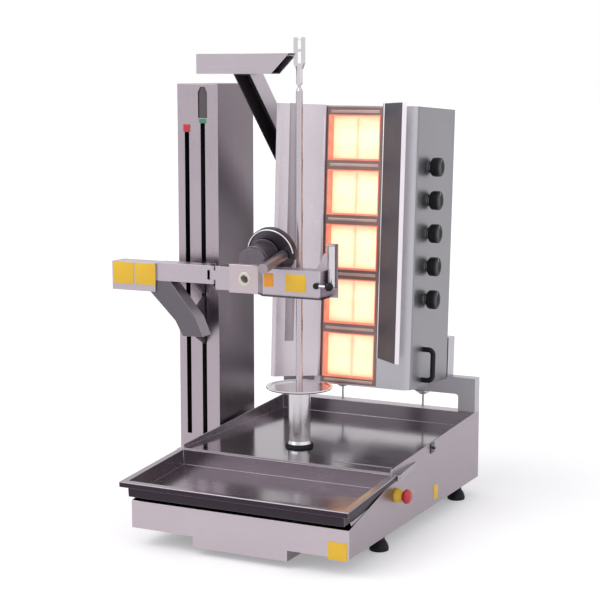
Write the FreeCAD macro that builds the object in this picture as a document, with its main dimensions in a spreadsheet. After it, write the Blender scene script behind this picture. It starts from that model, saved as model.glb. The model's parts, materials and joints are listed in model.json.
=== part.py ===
"""Automatic doner kebab grill: a parametric assembly of separate sub-parts, in millimetres.

Axes: +X to the right, +Y to the rear, +Z up. Heights are measured from the underside of the base box,
widths from the base's right side and depths from its front, and the whole is then set over the middle
of its own footprint, standing on its feet.
"""

import FreeCAD
import Part
import os
import re
import Sketcher
from FreeCAD import Placement, Rotation, Vector

SIZES = {
    # Placing of the base's front right corner, and running gaps
    "corner_x": 471.7,
    "corner_y": -475.0,
    "run_gap": 0.05,
    "free_gap": 0.3,
    # Base box of folded sheet
    "base_wide": 676.0,
    "base_deep": 973.0,
    "base_wall": 2.0,
    "front_high": 79.0,
    "step_y": 281.0,
    "step_high": 156.0,
    "cheek_back": 27.0,
    "cheek_high": 137.0,
    "side_front_high": 179.0,
    "side_rear_high": 214.0,
    "rear_shelf": 45.0,
    "sump_left": 478.0,
    "sump_right": 184.0,
    "sump_deep": 300.0,
    "sump_high": 31.0,
    # Feet
    "foot_high": 53.0,
    "foot_rad": 27.5,
    "foot_neck": 15.0,
    "foot_rim": 8.0,
    "foot_inset": 35.0,
    "foot_front_y": 275.0,
    "foot_rear_y": 873.0,
    # Deck pan and its insert
    "deck_top": 170.0,
    "deck_wall": 2.0,
    "deck_fit": 0.5,
    "apron_low": 123.0,
    "insert_left": 203.0,
    "insert_right": 22.0,
    "insert_front": 330.0,
    "insert_rear": 645.0,
    "insert_thick": 2.0,
    "bead_rad": 1.5,
    # Front tray, in its own sloping frame
    "tray_slope": 4.6,
    "tray_under_deck": 4.0,
    "tray_deep": 318.0,
    "tray_over": 15.0,
    "tray_side_gap": 2.0,
    "tray_pan_high": 47.0,
    "tray_pan_inset": 15.0,
    "tray_wall": 1.5,
    "tray_lip": 16.0,
    "tray_lip_rad": 3.0,
    "runner_wide": 18.0,
    "runner_high": 10.0,
    "runner_long": 264.0,
    "ledge_wide": 20.0,
    "ledge_tip": 3.0,
    "ledge_long": 169.0,
    "ledge_low": 148.0,
    "ledge_high": 165.0,
    # Emergency stop and latch on the right side
    "estop_y": 311.0,
    "estop_z": 100.0,
    "estop_collar_rad": 25.0,
    "estop_collar_long": 22.0,
    "estop_stem_rad": 11.0,
    "estop_travel": 5.0,
    "estop_cap_rad": 23.0,
    "estop_cap_long": 19.0,
    "latch_y": 577.0,
    "latch_z": 179.0,
    "latch_wide": 26.0,
    "latch_high": 30.0,
    "latch_plate": 3.0,
    "latch_rod_rad": 4.0,
    # Rear bridge
    "bridge_deep": 38.0,
    "bridge_post": 57.0,
    "bridge_rise": 54.0,
    "bridge_wall": 2.5,
    "bridge_corner": 10.0,
    "tie_left": 467.0,
    "tie_right": 184.0,
    "tie_inset": 18.0,
    "tie_rod_rad": 3.5,
    "tie_dome_rad": 27.5,
    "tie_dome_high": 13.0,
    # Spit and its drive
    "spit_x": 377.0,
    "spit_y": 458.0,
    "disc_top": 352.0,
    "disc_rad": 99.5,
    "disc_thick": 7.0,
    "post_rad": 33.5,
    "post_foot_rad": 36.5,
    "socket_deep": 45.0,
    "rod_rad": 10.0,
    "rod_top": 1229.0,
    "pivot_rad": 5.0,
    "pivot_long": 30.0,
    "ring_rad": 42.5,
    "ring_high": 9.0,
    "shaft_rad": 15.0,
    "deck_hole": 20.0,
    "gear_module": 3.0,
    "gear_teeth": 45,
    "pinion_teeth": 15,
    "gear_drop": 70.0,
    "gear_thick": 18.0,
    "tooth_slack": 0.5,
    "tooth_foot": 1.25,
    "tooth_base": 0.98,
    "tooth_tip": 0.36,
    "casting_wall": 12.0,
    "casting_deep": 140.0,
    "casting_left": 113.0,
    "casting_right": 145.0,
    "casting_roof": 20.0,
    "casting_high": 108.0,
    "motor_rad": 42.0,
    "motor_low": 12.0,
    "motor_shaft_rad": 8.0,
    # Top bearing of the spit
    "sleeve_gap": 8.0,
    "sleeve_long": 53.0,
    "sleeve_rad": 9.5,
    "clevis_high": 82.0,
    "clevis_wide": 32.0,
    "clevis_bar": 8.0,
    "clevis_deep": 12.0,
    "stay_rad": 2.5,
    # Column
    "column_gap": 14.0,
    "column_wide": 142.0,
    "column_front": 530.0,
    "column_deep": 226.0,
    "column_top": 1239.0,
    "column_wall": 2.0,
    "slot_wide": 16.0,
    "slot_low": 150.0,
    "slot_1_out": 38.0,
    "slot_1_drop": 135.0,
    "slot_2_in": 18.0,
    "slot_2_drop": 110.0,
    "window_wide": 32.0,
    "window_drop": 104.0,
    "window_rim": 10.0,
    "pad_low": 20.0,
    "pad_high": 40.0,
    "pad_pitch": 90.0,
    "pad_long": 160.0,
    "stop_high": 12.0,
    "stop_deep": 8.0,
    # Lift inside the column
    "guide_rad": 10.0,
    "guide_inset": 90.0,
    "guide_half": 34.0,
    "pulley_rad": 25.0,
    "pulley_wide": 20.0,
    "pulley_flange": 3.0,
    "pulley_inset": 175.0,
    "pulley_low": 90.0,
    "pulley_drop": 69.0,
    "belt_thick": 2.0,
    "axle_rad": 6.0,
    "cheek_thick": 3.0,
    "lift_motor_rad": 30.0,
    "block_wide": 108.0,
    "block_inset": 60.0,
    "block_drop": 210.0,
    "block_rise": 43.0,
    "tongue_wide": 10.0,
    # Mast, brace and bracket
    "mast_right": 524.0,
    "mast_wide": 56.0,
    "mast_deep": 55.0,
    "mast_wall": 3.0,
    "bracket_left": 705.0,
    "stay_long": 19.0,
    "bracket_deep": 56.0,
    "bracket_rise": 39.0,
    "bracket_high": 59.0,
    "bracket_wall": 3.0,
    "brace_deep": 83.0,
    # Cutting arm
    "arm_ahead": 58.0,
    "arm_deep": 55.0,
    "arm_low": 647.0,
    "arm_high": 55.0,
    "arm_over": 229.0,
    "arm_box_out": 74.0,
    "arm_box_drop": 35.0,
    "arm_box_high": 88.0,
    "arm_end_gap": 13.5,
    "arm_wall": 2.5,
    "pin_x": 642.5,
    "pin_rad": 5.0,
    "pin_head_rad": 8.0,
    "lug_rad": 10.0,
    "lug_high": 13.0,
    "strut_out": 22.0,
    "strut_in": 49.0,
    "strut_foot_out": 26.0,
    "strut_foot_in": 46.0,
    "strut_drop": 162.0,
    "strut_deep": 50.0,
    "strut_wall": 3.0,
    # Cutting head
    "carrier_gap": 14.5,
    "carrier_reach": 71.5,
    "carrier_drop": 15.0,
    "gearbox_wide": 101.0,
    "gearbox_ahead": 20.0,
    "gearbox_deep": 50.0,
    "gearbox_drop": 18.0,
    "gearbox_high": 85.0,
    "bolt_rad": 7.0,
    "bolt_long": 22.0,
    "bolt_inset": 48.0,
    "bolt_rise": 25.0,
    "bolt_high": 6.0,
    "housing_deep": 60.0,
    "housing_back_gap": 2.0,
    "housing_bevel": 34.0,
    "housing_wide": 218.0,
    "housing_drop": 10.0,
    "housing_high": 76.0,
    "housing_wall": 2.5,
    "sole_thick": 5.0,
    "sole_over": 4.0,
    "spindle_in": 36.0,
    "spindle_rise": 39.0,
    "spindle_tilt": 12.0,
    "blade_rad": 70.0,
    "blade_thick": 2.0,
    "hub_rad": 14.0,
    "hub_long": 5.0,
    "blade_shaft_rad": 6.0,
    "blade_shaft_long": 24.0,
    "guard_rad": 78.0,
    "guard_inner": 24.0,
    "guard_back": 12.0,
    "guard_plate": 3.0,
    "guard_angle": 200.0,
    "blade_motor_rad": 25.0,
    "blade_motor_long": 138.0,
    "motor_cap_long": 22.0,
    "flange_over": 9.0,
    "grip_rad": 15.5,
    "grip_out": 42.0,
    "grip_long": 128.0,
    "saddle_inset": 6.0,
    "saddle_back": 14.0,
    "saddle_half": 18.0,
    "plate_lap": 38.0,
    "plate_over": 28.0,
    "plate_thick": 4.0,
    "plate_high": 151.0,
    "plate_shoulder": 79.0,
    "ear_deep": 28.0,
    "ear_wide": 26.0,
    "ear_thick": 4.0,
    "ear_rise": 23.0,
    "roller_rad": 11.5,
    "roller_ahead": 14.0,
    "roller_axle": 3.0,
    "lever_inset": 10.0,
    "lever_rise": 35.0,
    "lever_hub": 9.0,
    "lever_thick": 8.0,
    "lever_rod": 3.5,
    "lever_pin": 3.0,
    "lever_pin_long": 14.0,
    "lever_ball": 12.5,
    "lever_reach": 40.0,
    # Burner unit, in its own frame that leans back
    "lean": 3.13,
    "unit_x": 287.5,
    "unit_from_rear": 367.0,
    "unit_rise": 13.0,
    "unit_left": 112.5,
    "unit_right": 197.5,
    "unit_deep": 310.0,
    "rail_over": 4.2,
    "unit_wall": 2.0,
    "unit_corner": 25.0,
    "mouth_half": 92.5,
    "mouth_low": 4.0,
    "frame_fit": 0.3,
    "frame_deep": 24.0,
    "frame_wall": 2.0,
    "burner_count": 5,
    "burner_pitch": 163.9,
    "burner_first": 90.6,
    "frame_side": 12.5,
    "window_high": 128.0,
    "tile_side_gap": 1.5,
    "tile_high": 132.0,
    "tile_thick": 13.0,
    "tile_gap": 0.6,
    "plenum_deep": 72.0,
    "plenum_wall": 1.5,
    "pipe_inset": 47.5,
    "pipe_v": 116.0,
    "pipe_rad": 11.0,
    "jet_rad": 5.0,
    "valve_half": 15.0,
    "knob_first": 266.0,
    "knob_pitch": 99.5,
    "knob_rad": 28.5,
    "knob_skirt": 9.0,
    "knob_grip_rad": 24.0,
    "knob_out": 38.0,
    "knob_bar": 8.0,
    "knob_stem_rad": 4.0,
    "knob_stem_long": 26.0,
    "handle_v": 110.5,
    "handle_low": 13.0,
    "handle_high": 108.0,
    "handle_out": 40.0,
    "handle_bar": 17.0,
    "handle_corner": 8.0,
    "wing_reach": 100.0,
    "wing_thick": 2.0,
    "wing_hem": 12.0,
    "wing_barrel": 4.5,
    "left_wing_low": 22.0,
    "left_wing_over": 2.0,
    "right_wing_low": 92.0,
    "right_wing_over": 7.0,
    "slide_rod_rad": 9.0,
    "slide_rod_long": 190.0,
    "slide_rod_w": 65.0,
    "slide_rod_inset": 35.0,
    "carry_wide": 70.0,
    "carry_deep": 52.0,
    "carry_gap": 10.0,
    "carry_top": 130.0,
}

PLACES = {
    "tray_wide": "base_wide + 2 * tray_over",
    "tray_pan_wide": "base_wide - 2 * base_wall - 2 * tray_side_gap",
    "tray_top": "deck_top - tray_under_deck",
    "cheek_y": "step_y - cheek_back",
    "bridge_front": "base_deep - bridge_deep",
    "beam_low": "side_rear_high + bridge_rise",
    "beam_top": "side_rear_high + 2 * bridge_rise",
    "tie_y": "base_deep - tie_inset",
    "sleeve_low": "rod_top + sleeve_gap",
    "sleeve_top": "rod_top + sleeve_gap + sleeve_long",
    "clevis_top": "rod_top + sleeve_gap + sleeve_long + clevis_high",
    "bracket_low": "rod_top + bracket_rise",
    "bracket_front": "spit_y - bracket_deep / 2",
    "bracket_right": "spit_x + stay_long",
    "shaft_low": "deck_top - casting_high",
    "casting_low": "deck_top - casting_high",
    "gear_low": "deck_top - gear_drop",
    "slot_1_x": "base_wide + column_gap + column_wide / 2 + slot_1_out",
    "slot_2_x": "base_wide + column_gap + column_wide / 2 - slot_2_in",
    "slot_1_top": "column_top - slot_1_drop",
    "slot_2_top": "column_top - slot_2_drop",
    "window_low": "column_top - window_drop",
    "window_top": "column_top - window_rim",
    "guide_y": "column_front + guide_inset",
    "pulley_y": "column_front + pulley_inset",
    "pulley_high": "column_top - pulley_drop",
    "block_front": "column_front + block_inset",
    "block_low": "arm_low - block_drop",
    "block_top": "arm_low + block_rise",
    "arm_front": "spit_y - arm_ahead",
    "arm_left": "base_wide + column_gap + column_wide / 2 + arm_over",
    "arm_box_right": "base_wide + column_gap + column_wide / 2 + arm_box_out",
    "arm_box_low": "arm_low - arm_box_drop",
    "arm_right": "pin_x + arm_end_gap",
    "pin_y": "spit_y - arm_ahead + lug_rad",
    "strut_top_left": "arm_box_right + strut_out",
    "strut_top_right": "arm_box_right - strut_in",
    "strut_foot_left": "slot_2_x + strut_foot_out",
    "strut_foot_right": "slot_2_x - strut_foot_in",
    "strut_foot_low": "arm_low - strut_drop",
    "carrier_left": "pin_x - carrier_gap",
    "carrier_right": "pin_x - carrier_reach",
    "carrier_low": "arm_low - carrier_drop",
    "gearbox_right": "carrier_right - gearbox_wide",
    "gearbox_front": "arm_front - gearbox_ahead",
    "gearbox_low": "arm_low - gearbox_drop",
    "bolt_x": "gearbox_right + bolt_inset",
    "bolt_z": "arm_low + bolt_rise",
    "housing_rear": "spindle_y - housing_back_gap",
    "housing_front": "spindle_y - housing_deep",
    "housing_right": "gearbox_right - housing_wide",
    "housing_low": "arm_low - housing_drop",
    "spindle_x": "gearbox_right - spindle_in",
    "spindle_y": "spit_y - arm_ahead",
    "spindle_z": "housing_low + housing_high + spindle_rise",
    "saddle_front": "housing_front + saddle_inset",
    "saddle_rear": "housing_rear - saddle_back",
    "plate_left": "housing_right + plate_lap",
    "plate_right": "housing_right - plate_over",
    "plate_top": "housing_low + plate_high",
    "plate_slope_x": "housing_right",
    "plate_slope_z": "housing_low + plate_shoulder",
    "ear_low": "housing_low + ear_rise",
    "roller_x": "plate_right + ear_wide / 2",
    "roller_y": "housing_rear - roller_ahead",
    "lever_x": "housing_right + lever_inset",
    "lever_z": "housing_low + lever_rise",
    "unit_y": "base_deep - unit_from_rear",
    "unit_z": "beam_top + unit_rise",
    "unit_high": "2 * burner_first + (burner_count - 1) * burner_pitch + rail_over",
    "window_half": "mouth_half - frame_side",
    "tile_wide": "mouth_half - tile_side_gap",
    "pipe_x": "unit_right - pipe_inset",
    "left_wing_high": "unit_high - left_wing_low + left_wing_over",
    "right_wing_high": "unit_high - right_wing_low + right_wing_over",
}

NAME = re.compile(r"\b([a-z]+(?:_[a-z0-9]+)+|lean)\b")

doc = FreeCAD.newDocument("DonerGrill")
sheet = doc.addObject("Spreadsheet::Sheet", "Sizes")
for row, (alias, value) in enumerate(SIZES.items(), start=1):
    sheet.set(f"A{row}", alias.replace("_", " "))
    sheet.set(f"B{row}", str(value))
    sheet.setAlias(f"B{row}", alias)
doc.recompute()

PLANES = {"top": "XY_Plane", "front": "XZ_Plane", "side": "YZ_Plane"}
NORMALS = {"top": Vector(0, 0, 1), "front": Vector(0, 1, 0), "side": Vector(1, 0, 0)}
sub_parts = []


def spell(text, prefix):
    """The expression text with each worked-out place written in full and each size looked up."""
    def word(match):
        name = match.group(1)
        return f"({spell(PLACES[name], prefix)})" if name in PLACES else prefix + name
    return NAME.sub(word, str(text))


def size(text):
    """The expression text with its sizes looked up in the sheet, for a bound property."""
    return spell(text, "Sizes.")


def value(text):
    """The present number of an expression in sizes."""
    return float(sheet.evalExpression(spell(text, "")))


def new_body(label):
    body = doc.addObject("PartDesign::Body", label)
    body.Label = label
    sub_parts.append(body)
    return body


def new_sketch(body, plane, start):
    """A sketch on the body's origin plane, moved by start along the plane's positive axis."""
    sketch = body.newObject("Sketcher::SketchObject", "Profile")
    origin = body.Origin.OriginFeatures
    sketch.AttachmentSupport = [(next(f for f in origin if f.Role == PLANES[plane]), "")]
    sketch.MapMode = "FlatFace"
    sign = "-" if plane == "front" else ""
    sketch.setExpression("AttachmentOffset.Base.z", f"{sign}({size(start)})")
    return sketch


def hold(sketch, kind, *where, at):
    """One dimension of a sketch, bound to its expression."""
    index = sketch.addConstraint(Sketcher.Constraint(kind, *where, value(at)))
    sketch.setExpression(f"Constraints[{index}]", size(at))


def outline(sketch, corners):
    """A closed outline through corners, each held by its two distances from the sketch's origin."""
    first = sketch.GeometryCount
    spots = [Vector(value(across), value(up), 0) for across, up in corners]
    for index, spot in enumerate(spots):
        sketch.addGeometry(Part.LineSegment(spot, spots[(index + 1) % len(spots)]), False)
    for index, (across, up) in enumerate(corners):
        before = first + (index - 1) % len(corners)
        sketch.addConstraint(Sketcher.Constraint("Coincident", before, 2, first + index, 1))
        hold(sketch, "DistanceX", -1, 1, first + index, 1, at=across)
        hold(sketch, "DistanceY", -1, 1, first + index, 1, at=up)


def circle(sketch, across, up, radius):
    index = sketch.addGeometry(
        Part.Circle(Vector(value(across), value(up), 0), Vector(0, 0, 1), value(radius)), False)
    hold(sketch, "DistanceX", -1, 1, index, 3, at=across)
    hold(sketch, "DistanceY", -1, 1, index, 3, at=up)
    hold(sketch, "Radius", index, at=radius)


def grow(body, sketch, plane, length):
    """A pad from the sketch along the plane's positive axis."""
    pad = body.newObject("PartDesign::Pad", "Pad")
    pad.Profile = sketch
    pad.Reversed = plane == "front"
    pad.setExpression("Length", size(length))
    doc.recompute()
    return pad


def carve(body, sketch, plane, length):
    """A pocket from the sketch along the plane's positive axis, which has to take material away."""
    before = body.Shape.Volume
    pocket = body.newObject("PartDesign::Pocket", "Pocket")
    pocket.Profile = sketch
    pocket.Reversed = plane != "front"
    pocket.setExpression("Length", size(length))
    doc.recompute()
    if body.Shape.Volume >= before:
        raise RuntimeError(f"a cut in {body.Label} takes nothing away")
    return pocket


def prism(body, plane, corners, start, length):
    sketch = new_sketch(body, plane, start)
    outline(sketch, corners)
    return grow(body, sketch, plane, length)


def cut_prism(body, plane, corners, start, length):
    sketch = new_sketch(body, plane, start)
    outline(sketch, corners)
    return carve(body, sketch, plane, length)


def rod(body, plane, across, up, radius, start, length):
    sketch = new_sketch(body, plane, start)
    circle(sketch, across, up, radius)
    return grow(body, sketch, plane, length)


def bore(body, plane, across, up, radius, start, length):
    sketch = new_sketch(body, plane, start)
    circle(sketch, across, up, radius)
    return carve(body, sketch, plane, length)


def box(left, low, right, high):
    """The four corners of a rectangle."""
    return [(left, low), (right, low), (right, high), (left, high)]


def turn(body, plane, corners, angle=360, about="V_Axis"):
    """A profile turned about one of its sketch's axes, to both sides of the sketch alike."""
    sketch = new_sketch(body, plane, "0")
    outline(sketch, corners)
    spun = body.newObject("PartDesign::Revolution", "Turned")
    spun.Profile = sketch
    spun.ReferenceAxis = (sketch, [about])
    spun.setExpression("Angle", size(angle))
    spun.Midplane = True
    doc.recompute()
    return spun


def repeat(body, feature, plane, axis, pitch, count):
    """Copies of a feature in a row along one axis of the body."""
    pattern = body.newObject("PartDesign::LinearPattern", "Row")
    pattern.Originals = [feature]
    origin = body.Origin.OriginFeatures
    pattern.Direction = (next(f for f in origin if f.Role == axis), [""])
    pattern.Mode = "Spacing"
    pattern.setExpression("Offset", size(pitch))
    pattern.setExpression("Occurrences", size(count))
    body.Tip = pattern
    doc.recompute()
    return pattern


def ring_of(body, feature, count):
    """Copies of a feature round the body's upright axis."""
    pattern = body.newObject("PartDesign::PolarPattern", "Round")
    pattern.Originals = [feature]
    origin = body.Origin.OriginFeatures
    pattern.Axis = (next(f for f in origin if f.Role == "Z_Axis"), [""])
    pattern.Angle = 360
    pattern.setExpression("Occurrences", size(count))
    body.Tip = pattern
    doc.recompute()
    return pattern


def soften(body, radius, wanted):
    """A fillet on the straight edges that wanted(middle, direction) picks."""
    names = []
    for index, edge in enumerate(body.Shape.Edges, start=1):
        if not isinstance(edge.Curve, Part.Line):
            continue
        start, end = (vertex.Point for vertex in edge.Vertexes)
        if wanted((start + end) * 0.5, (end - start).normalize()):
            names.append(f"Edge{index}")
    if not names:
        raise RuntimeError(f"no edge to round on {body.Label}")
    base = body.Tip
    fillet = body.newObject("PartDesign::Fillet", "Rounded")
    fillet.Base = (base, names)
    fillet.setExpression("Radius", size(radius))
    doc.recompute()
    return fillet


def seat(part, across="0", deep="0", up="0", axis=None, angle=None):
    """Places a sub-part from the base's front right corner, at foot height, turned about an axis."""
    if axis is not None:
        part.Placement = Placement(Vector(), Rotation(axis, 1.0))
        part.setExpression(".Placement.Rotation.Angle", size(angle))
    part.setExpression(".Placement.Base.x", size(f"corner_x + ({across})"))
    part.setExpression(".Placement.Base.y", size(f"corner_y + ({deep})"))
    part.setExpression(".Placement.Base.z", size(f"foot_high + ({up})"))
    doc.recompute()


def seat_on_unit(part):
    """Places a sub-part of the burner unit, which leans back about its front lower edge."""
    seat(part, "-unit_x", "unit_y", "unit_z", Vector(1, 0, 0), "-lean")


def seat_on_spindle(part):
    """Places a sub-part on the blade's axis, which points to the rear and a little up."""
    seat(part, "-spindle_x", "spindle_y", "spindle_z", Vector(1, 0, 0), "spindle_tilt")


def seat_on_slope(part):
    """Places a sub-part in the front tray's frame: middle of its rear edge, top of its rim."""
    seat(part, "-base_wide / 2", "step_y - free_gap - tray_pan_high * sin(tray_slope)", "tray_top",
         Vector(1, 0, 0), "tray_slope")


def group(label, members):
    """Several solids in one sub-part."""
    compound = doc.addObject("Part::Compound", label)
    compound.Label = label
    compound.Links = members
    sub_parts.append(compound)
    doc.recompute()
    return compound


def member(body):
    """Takes a body back out of the list of sub-parts, as a member of a group."""
    sub_parts.remove(body)
    return body


# Base, deck and tray


def make_base_body():
    body = new_body("base_body")
    side = [("0", "0"), ("base_deep", "0"), ("base_deep", "side_rear_high"),
            ("base_deep - rear_shelf", "side_rear_high"), ("step_y", "side_front_high"),
            ("step_y", "step_high"), ("cheek_y", "cheek_high"), ("0", "front_high")]
    prism(body, "side", side, "-base_wide", "base_wide")
    prism(body, "top", box("-sump_left", "0", "-sump_right", "sump_deep"), "-sump_high", "sump_high + base_wall")
    inside = [("base_wall", "base_wall"), ("base_deep - base_wall", "base_wall"),
              ("base_deep - base_wall", "side_rear_high - base_wall"),
              ("base_deep - rear_shelf - base_wall", "side_rear_high - base_wall"),
              ("base_deep - rear_shelf - base_wall", "side_rear_high + base_wall"),
              ("base_wall", "side_rear_high + base_wall")]
    cut_prism(body, "side", inside, "base_wall - base_wide", "base_wide - 2 * base_wall")
    cut_prism(body, "top", box("base_wall - sump_left", "base_wall", "-sump_right - base_wall",
                               "sump_deep - base_wall"), "base_wall - sump_high", "sump_high")
    bore(body, "side", "estop_y", "estop_z", "estop_stem_rad + 2 * base_wall", "-base_wall", "base_wall")
    seat(body)


def make_deck_pan():
    body = new_body("deck_pan")
    left = "-base_wide + base_wall + deck_fit"
    wide = "base_wide - 2 * base_wall - 2 * deck_fit"
    rear = "base_deep - rear_shelf - base_wall - deck_fit"
    side = [("step_y", "apron_low"), ("step_y + deck_wall", "apron_low"),
            ("step_y + deck_wall", "deck_top - deck_wall"), (rear, "deck_top - deck_wall"),
            (rear, "side_rear_high"), ("step_y", "side_front_high")]
    prism(body, "side", side, left, wide)
    inside = [("step_y - deck_wall", "deck_top"), (f"{rear} - deck_wall", "deck_top"),
              (f"{rear} - deck_wall", "side_rear_high + deck_wall"),
              ("step_y - deck_wall", "side_rear_high + deck_wall")]
    cut_prism(body, "side", inside, f"{left} + deck_wall", f"{wide} - 2 * deck_wall")
    bore(body, "top", "-spit_x", "spit_y", "deck_hole", "deck_top - deck_wall", "deck_wall")
    seat(body)


def make_deck_insert():
    body = new_body("deck_insert")
    prism(body, "top", box("-insert_left", "insert_front", "-insert_right", "insert_rear"),
          "deck_top", "insert_thick")
    soften(body, "insert_thick / 2", lambda middle, way: abs(way.z) < 0.5 and middle.z > value("deck_top + 1"))
    seat(body)


def make_tray_guides():
    runners = []
    for side, left in (("left", "-base_wide / 2 + base_wall"), ("right", "base_wide / 2 - base_wall - runner_wide")):
        body = member(new_body(f"runner_{side}"))
        top = "-tray_pan_high - free_gap"
        inner = f"{left} + runner_wide - base_wall" if side == "right" else left
        prism(body, "front", box(left, f"{top} - base_wall", f"{left} + runner_wide", top),
              "-runner_long - base_wall", "runner_long")
        prism(body, "front", box(inner, f"{top} - runner_high", f"{inner} + base_wall", top),
              "-runner_long - base_wall", "runner_long")
        seat_on_slope(body)
        runners.append(body)
    for side, sign, edge in (("left", "-", "-base_wide"), ("right", "", "0")):
        body = member(new_body(f"ledge_{side}"))
        plan = [(edge, "step_y"), (f"{edge} {sign or '+'} ledge_wide", "step_y"),
                (f"{edge} {sign or '+'} ledge_wide", "step_y + ledge_wide"),
                (f"{edge} {sign or '+'} ledge_tip", "step_y + ledge_long"), (edge, "step_y + ledge_long")]
        prism(body, "top", plan, "ledge_low", "ledge_high - ledge_low")
        seat(body)
        runners.append(body)
    group("tray_guides", runners)


def make_front_tray():
    body = new_body("front_tray")
    half = "tray_wide / 2"
    pan = "tray_pan_wide / 2"
    prism(body, "top", box(f"-{half}", "-tray_deep", half, "0"), "-tray_lip", "tray_lip")
    front = "tray_pan_inset - tray_deep"
    prism(body, "top", box(f"-{pan}", front, pan, "0"), "-tray_pan_high", "tray_pan_high")
    soften(body, "tray_lip_rad", lambda middle, way: abs(way.z) < 0.1 and middle.z > -0.1
           and middle.y < value("-free_gap"))
    cut_prism(body, "top", box(f"tray_wall - {pan}", f"{front} + tray_wall", f"{pan} - tray_wall", "-tray_wall"),
              "tray_wall - tray_pan_high", "tray_pan_high")
    for left, right in ((f"tray_wall - {half}", f"-{pan}"), (pan, f"{half} - tray_wall")):
        cut_prism(body, "top", box(left, "tray_wall - tray_deep", right, "0"), "-tray_lip",
                  "tray_lip - tray_lip_rad")
    cut_prism(body, "top", box(f"-{pan}", "tray_wall - tray_deep", pan, front), "-tray_lip",
              "tray_lip - tray_lip_rad")
    seat_on_slope(body)


def make_feet():
    feet = []
    for deep in ("foot_front_y", "foot_rear_y"):
        for across in ("-foot_inset", "foot_inset - base_wide"):
            body = member(new_body("foot"))
            turn(body, "front", [("0", "-foot_high"), ("foot_rad", "-foot_high"),
                                 ("foot_rad", "foot_rim - foot_high"), ("foot_neck", "-foot_rim"),
                                 ("foot_neck", "0"), ("0", "0")])
            seat(body, across, deep)
            feet.append(body)
    group("rubber_feet", feet)


def make_estop():
    collar = new_body("estop_collar")
    turn(collar, "top", [("estop_stem_rad + run_gap", "0"), ("estop_collar_rad", "0"),
                         ("estop_collar_rad", "estop_collar_long - foot_rim"),
                         ("estop_collar_rad - deck_wall", "estop_collar_long"),
                         ("estop_stem_rad + run_gap", "estop_collar_long")])
    seat(collar, "0", "estop_y", "estop_z", Vector(0, 0, 1), "-90")
    button = new_body("estop_button")
    under = "estop_collar_long + estop_travel + 2 * free_gap"
    turn(button, "top", [("0", "0"), ("estop_stem_rad", "0"), ("estop_stem_rad", under),
                         ("estop_cap_rad - deck_wall", under), ("estop_cap_rad", f"{under} + deck_wall"),
                         ("estop_cap_rad", f"{under} + estop_cap_long / 2"),
                         ("estop_cap_rad * 0.8", f"{under} + estop_cap_long"), ("0", f"{under} + estop_cap_long")])
    seat(button, "0", "estop_y", "estop_z", Vector(0, 0, 1), "-90")


def make_side_latch():
    body = new_body("side_latch")
    half = "latch_wide / 2"
    prism(body, "side", box(f"latch_y - {half}", "latch_z - latch_high / 2", f"latch_y + {half}",
                            "latch_z + latch_high / 2"), "0", "latch_plate")
    rod(body, "side", "latch_y", "latch_z", "latch_rod_rad", "latch_plate", "2 * latch_rod_rad")
    seat(body)


def make_rear_bridge():
    body = new_body("rear_bridge")
    deep = "base_deep - bridge_front"
    shape = [("-base_wide", "side_rear_high"), ("bridge_post - base_wide", "side_rear_high"),
             ("bridge_post - base_wide", "beam_low"), ("-bridge_post", "beam_low"),
             ("-bridge_post", "side_rear_high"), ("0", "side_rear_high"), ("0", "beam_top"),
             ("-base_wide", "beam_top")]
    prism(body, "front", shape, "bridge_front", deep)
    soften(body, "bridge_corner", lambda middle, way: abs(way.y) > 0.9 and abs(middle.z - value("beam_low")) < 1)
    wall = "bridge_wall"
    cut_prism(body, "front", box(f"{wall} - base_wide", f"beam_low + {wall}", f"-{wall}", f"beam_top - {wall}"),
              f"bridge_front + {wall}", deep)
    for left in (f"{wall} - base_wide", f"{wall} - bridge_post"):
        cut_prism(body, "front", box(left, f"side_rear_high + {wall}", f"{left} + bridge_post - 2 * {wall}",
                                     f"beam_low + {wall}"), f"bridge_front + {wall}", deep)
    seat(body)


def make_tie_rods():
    ties = []
    for across in ("-tie_left", "-tie_right"):
        body = member(new_body("tie"))
        turn(body, "front", [("0", "side_rear_high"), ("tie_rod_rad", "side_rear_high"),
                             ("tie_rod_rad", "beam_low - tie_dome_high"),
                             ("tie_dome_rad / 2", "beam_low - tie_dome_high"),
                             ("tie_dome_rad", "beam_low - deck_wall"), ("tie_dome_rad", "beam_low"),
                             ("0", "beam_low")])
        seat(body, across, "tie_y")
        ties.append(body)
    group("bridge_tie_rods", ties)


# Spit and its drive


def make_floor_ring():
    body = new_body("floor_ring")
    turn(body, "front", [("post_foot_rad + 2 * free_gap", "deck_top"), ("ring_rad", "deck_top"),
                         ("ring_rad - deck_wall", "deck_top + ring_high"),
                         ("post_foot_rad + 2 * free_gap", "deck_top + ring_high")])
    seat(body, "-spit_x", "spit_y")


def make_drive_post():
    body = new_body("drive_post")
    bottom = "deck_top + free_gap"
    top = "disc_top - disc_thick"
    socket = "rod_rad + run_gap"
    turn(body, "front", [("0", "shaft_low"), ("shaft_rad", "shaft_low"), ("shaft_rad", bottom),
                         ("post_foot_rad", bottom), ("post_foot_rad", f"{bottom} + ring_high"),
                         ("post_rad", f"{bottom} + 2 * ring_high"), ("post_rad", f"{top} - disc_thick"),
                         ("post_foot_rad", f"{top} - disc_thick"), ("post_foot_rad", top), (socket, top),
                         (socket, f"{top} - socket_deep"), ("0", f"{top} - socket_deep")])
    seat(body, "-spit_x", "spit_y")


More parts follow.
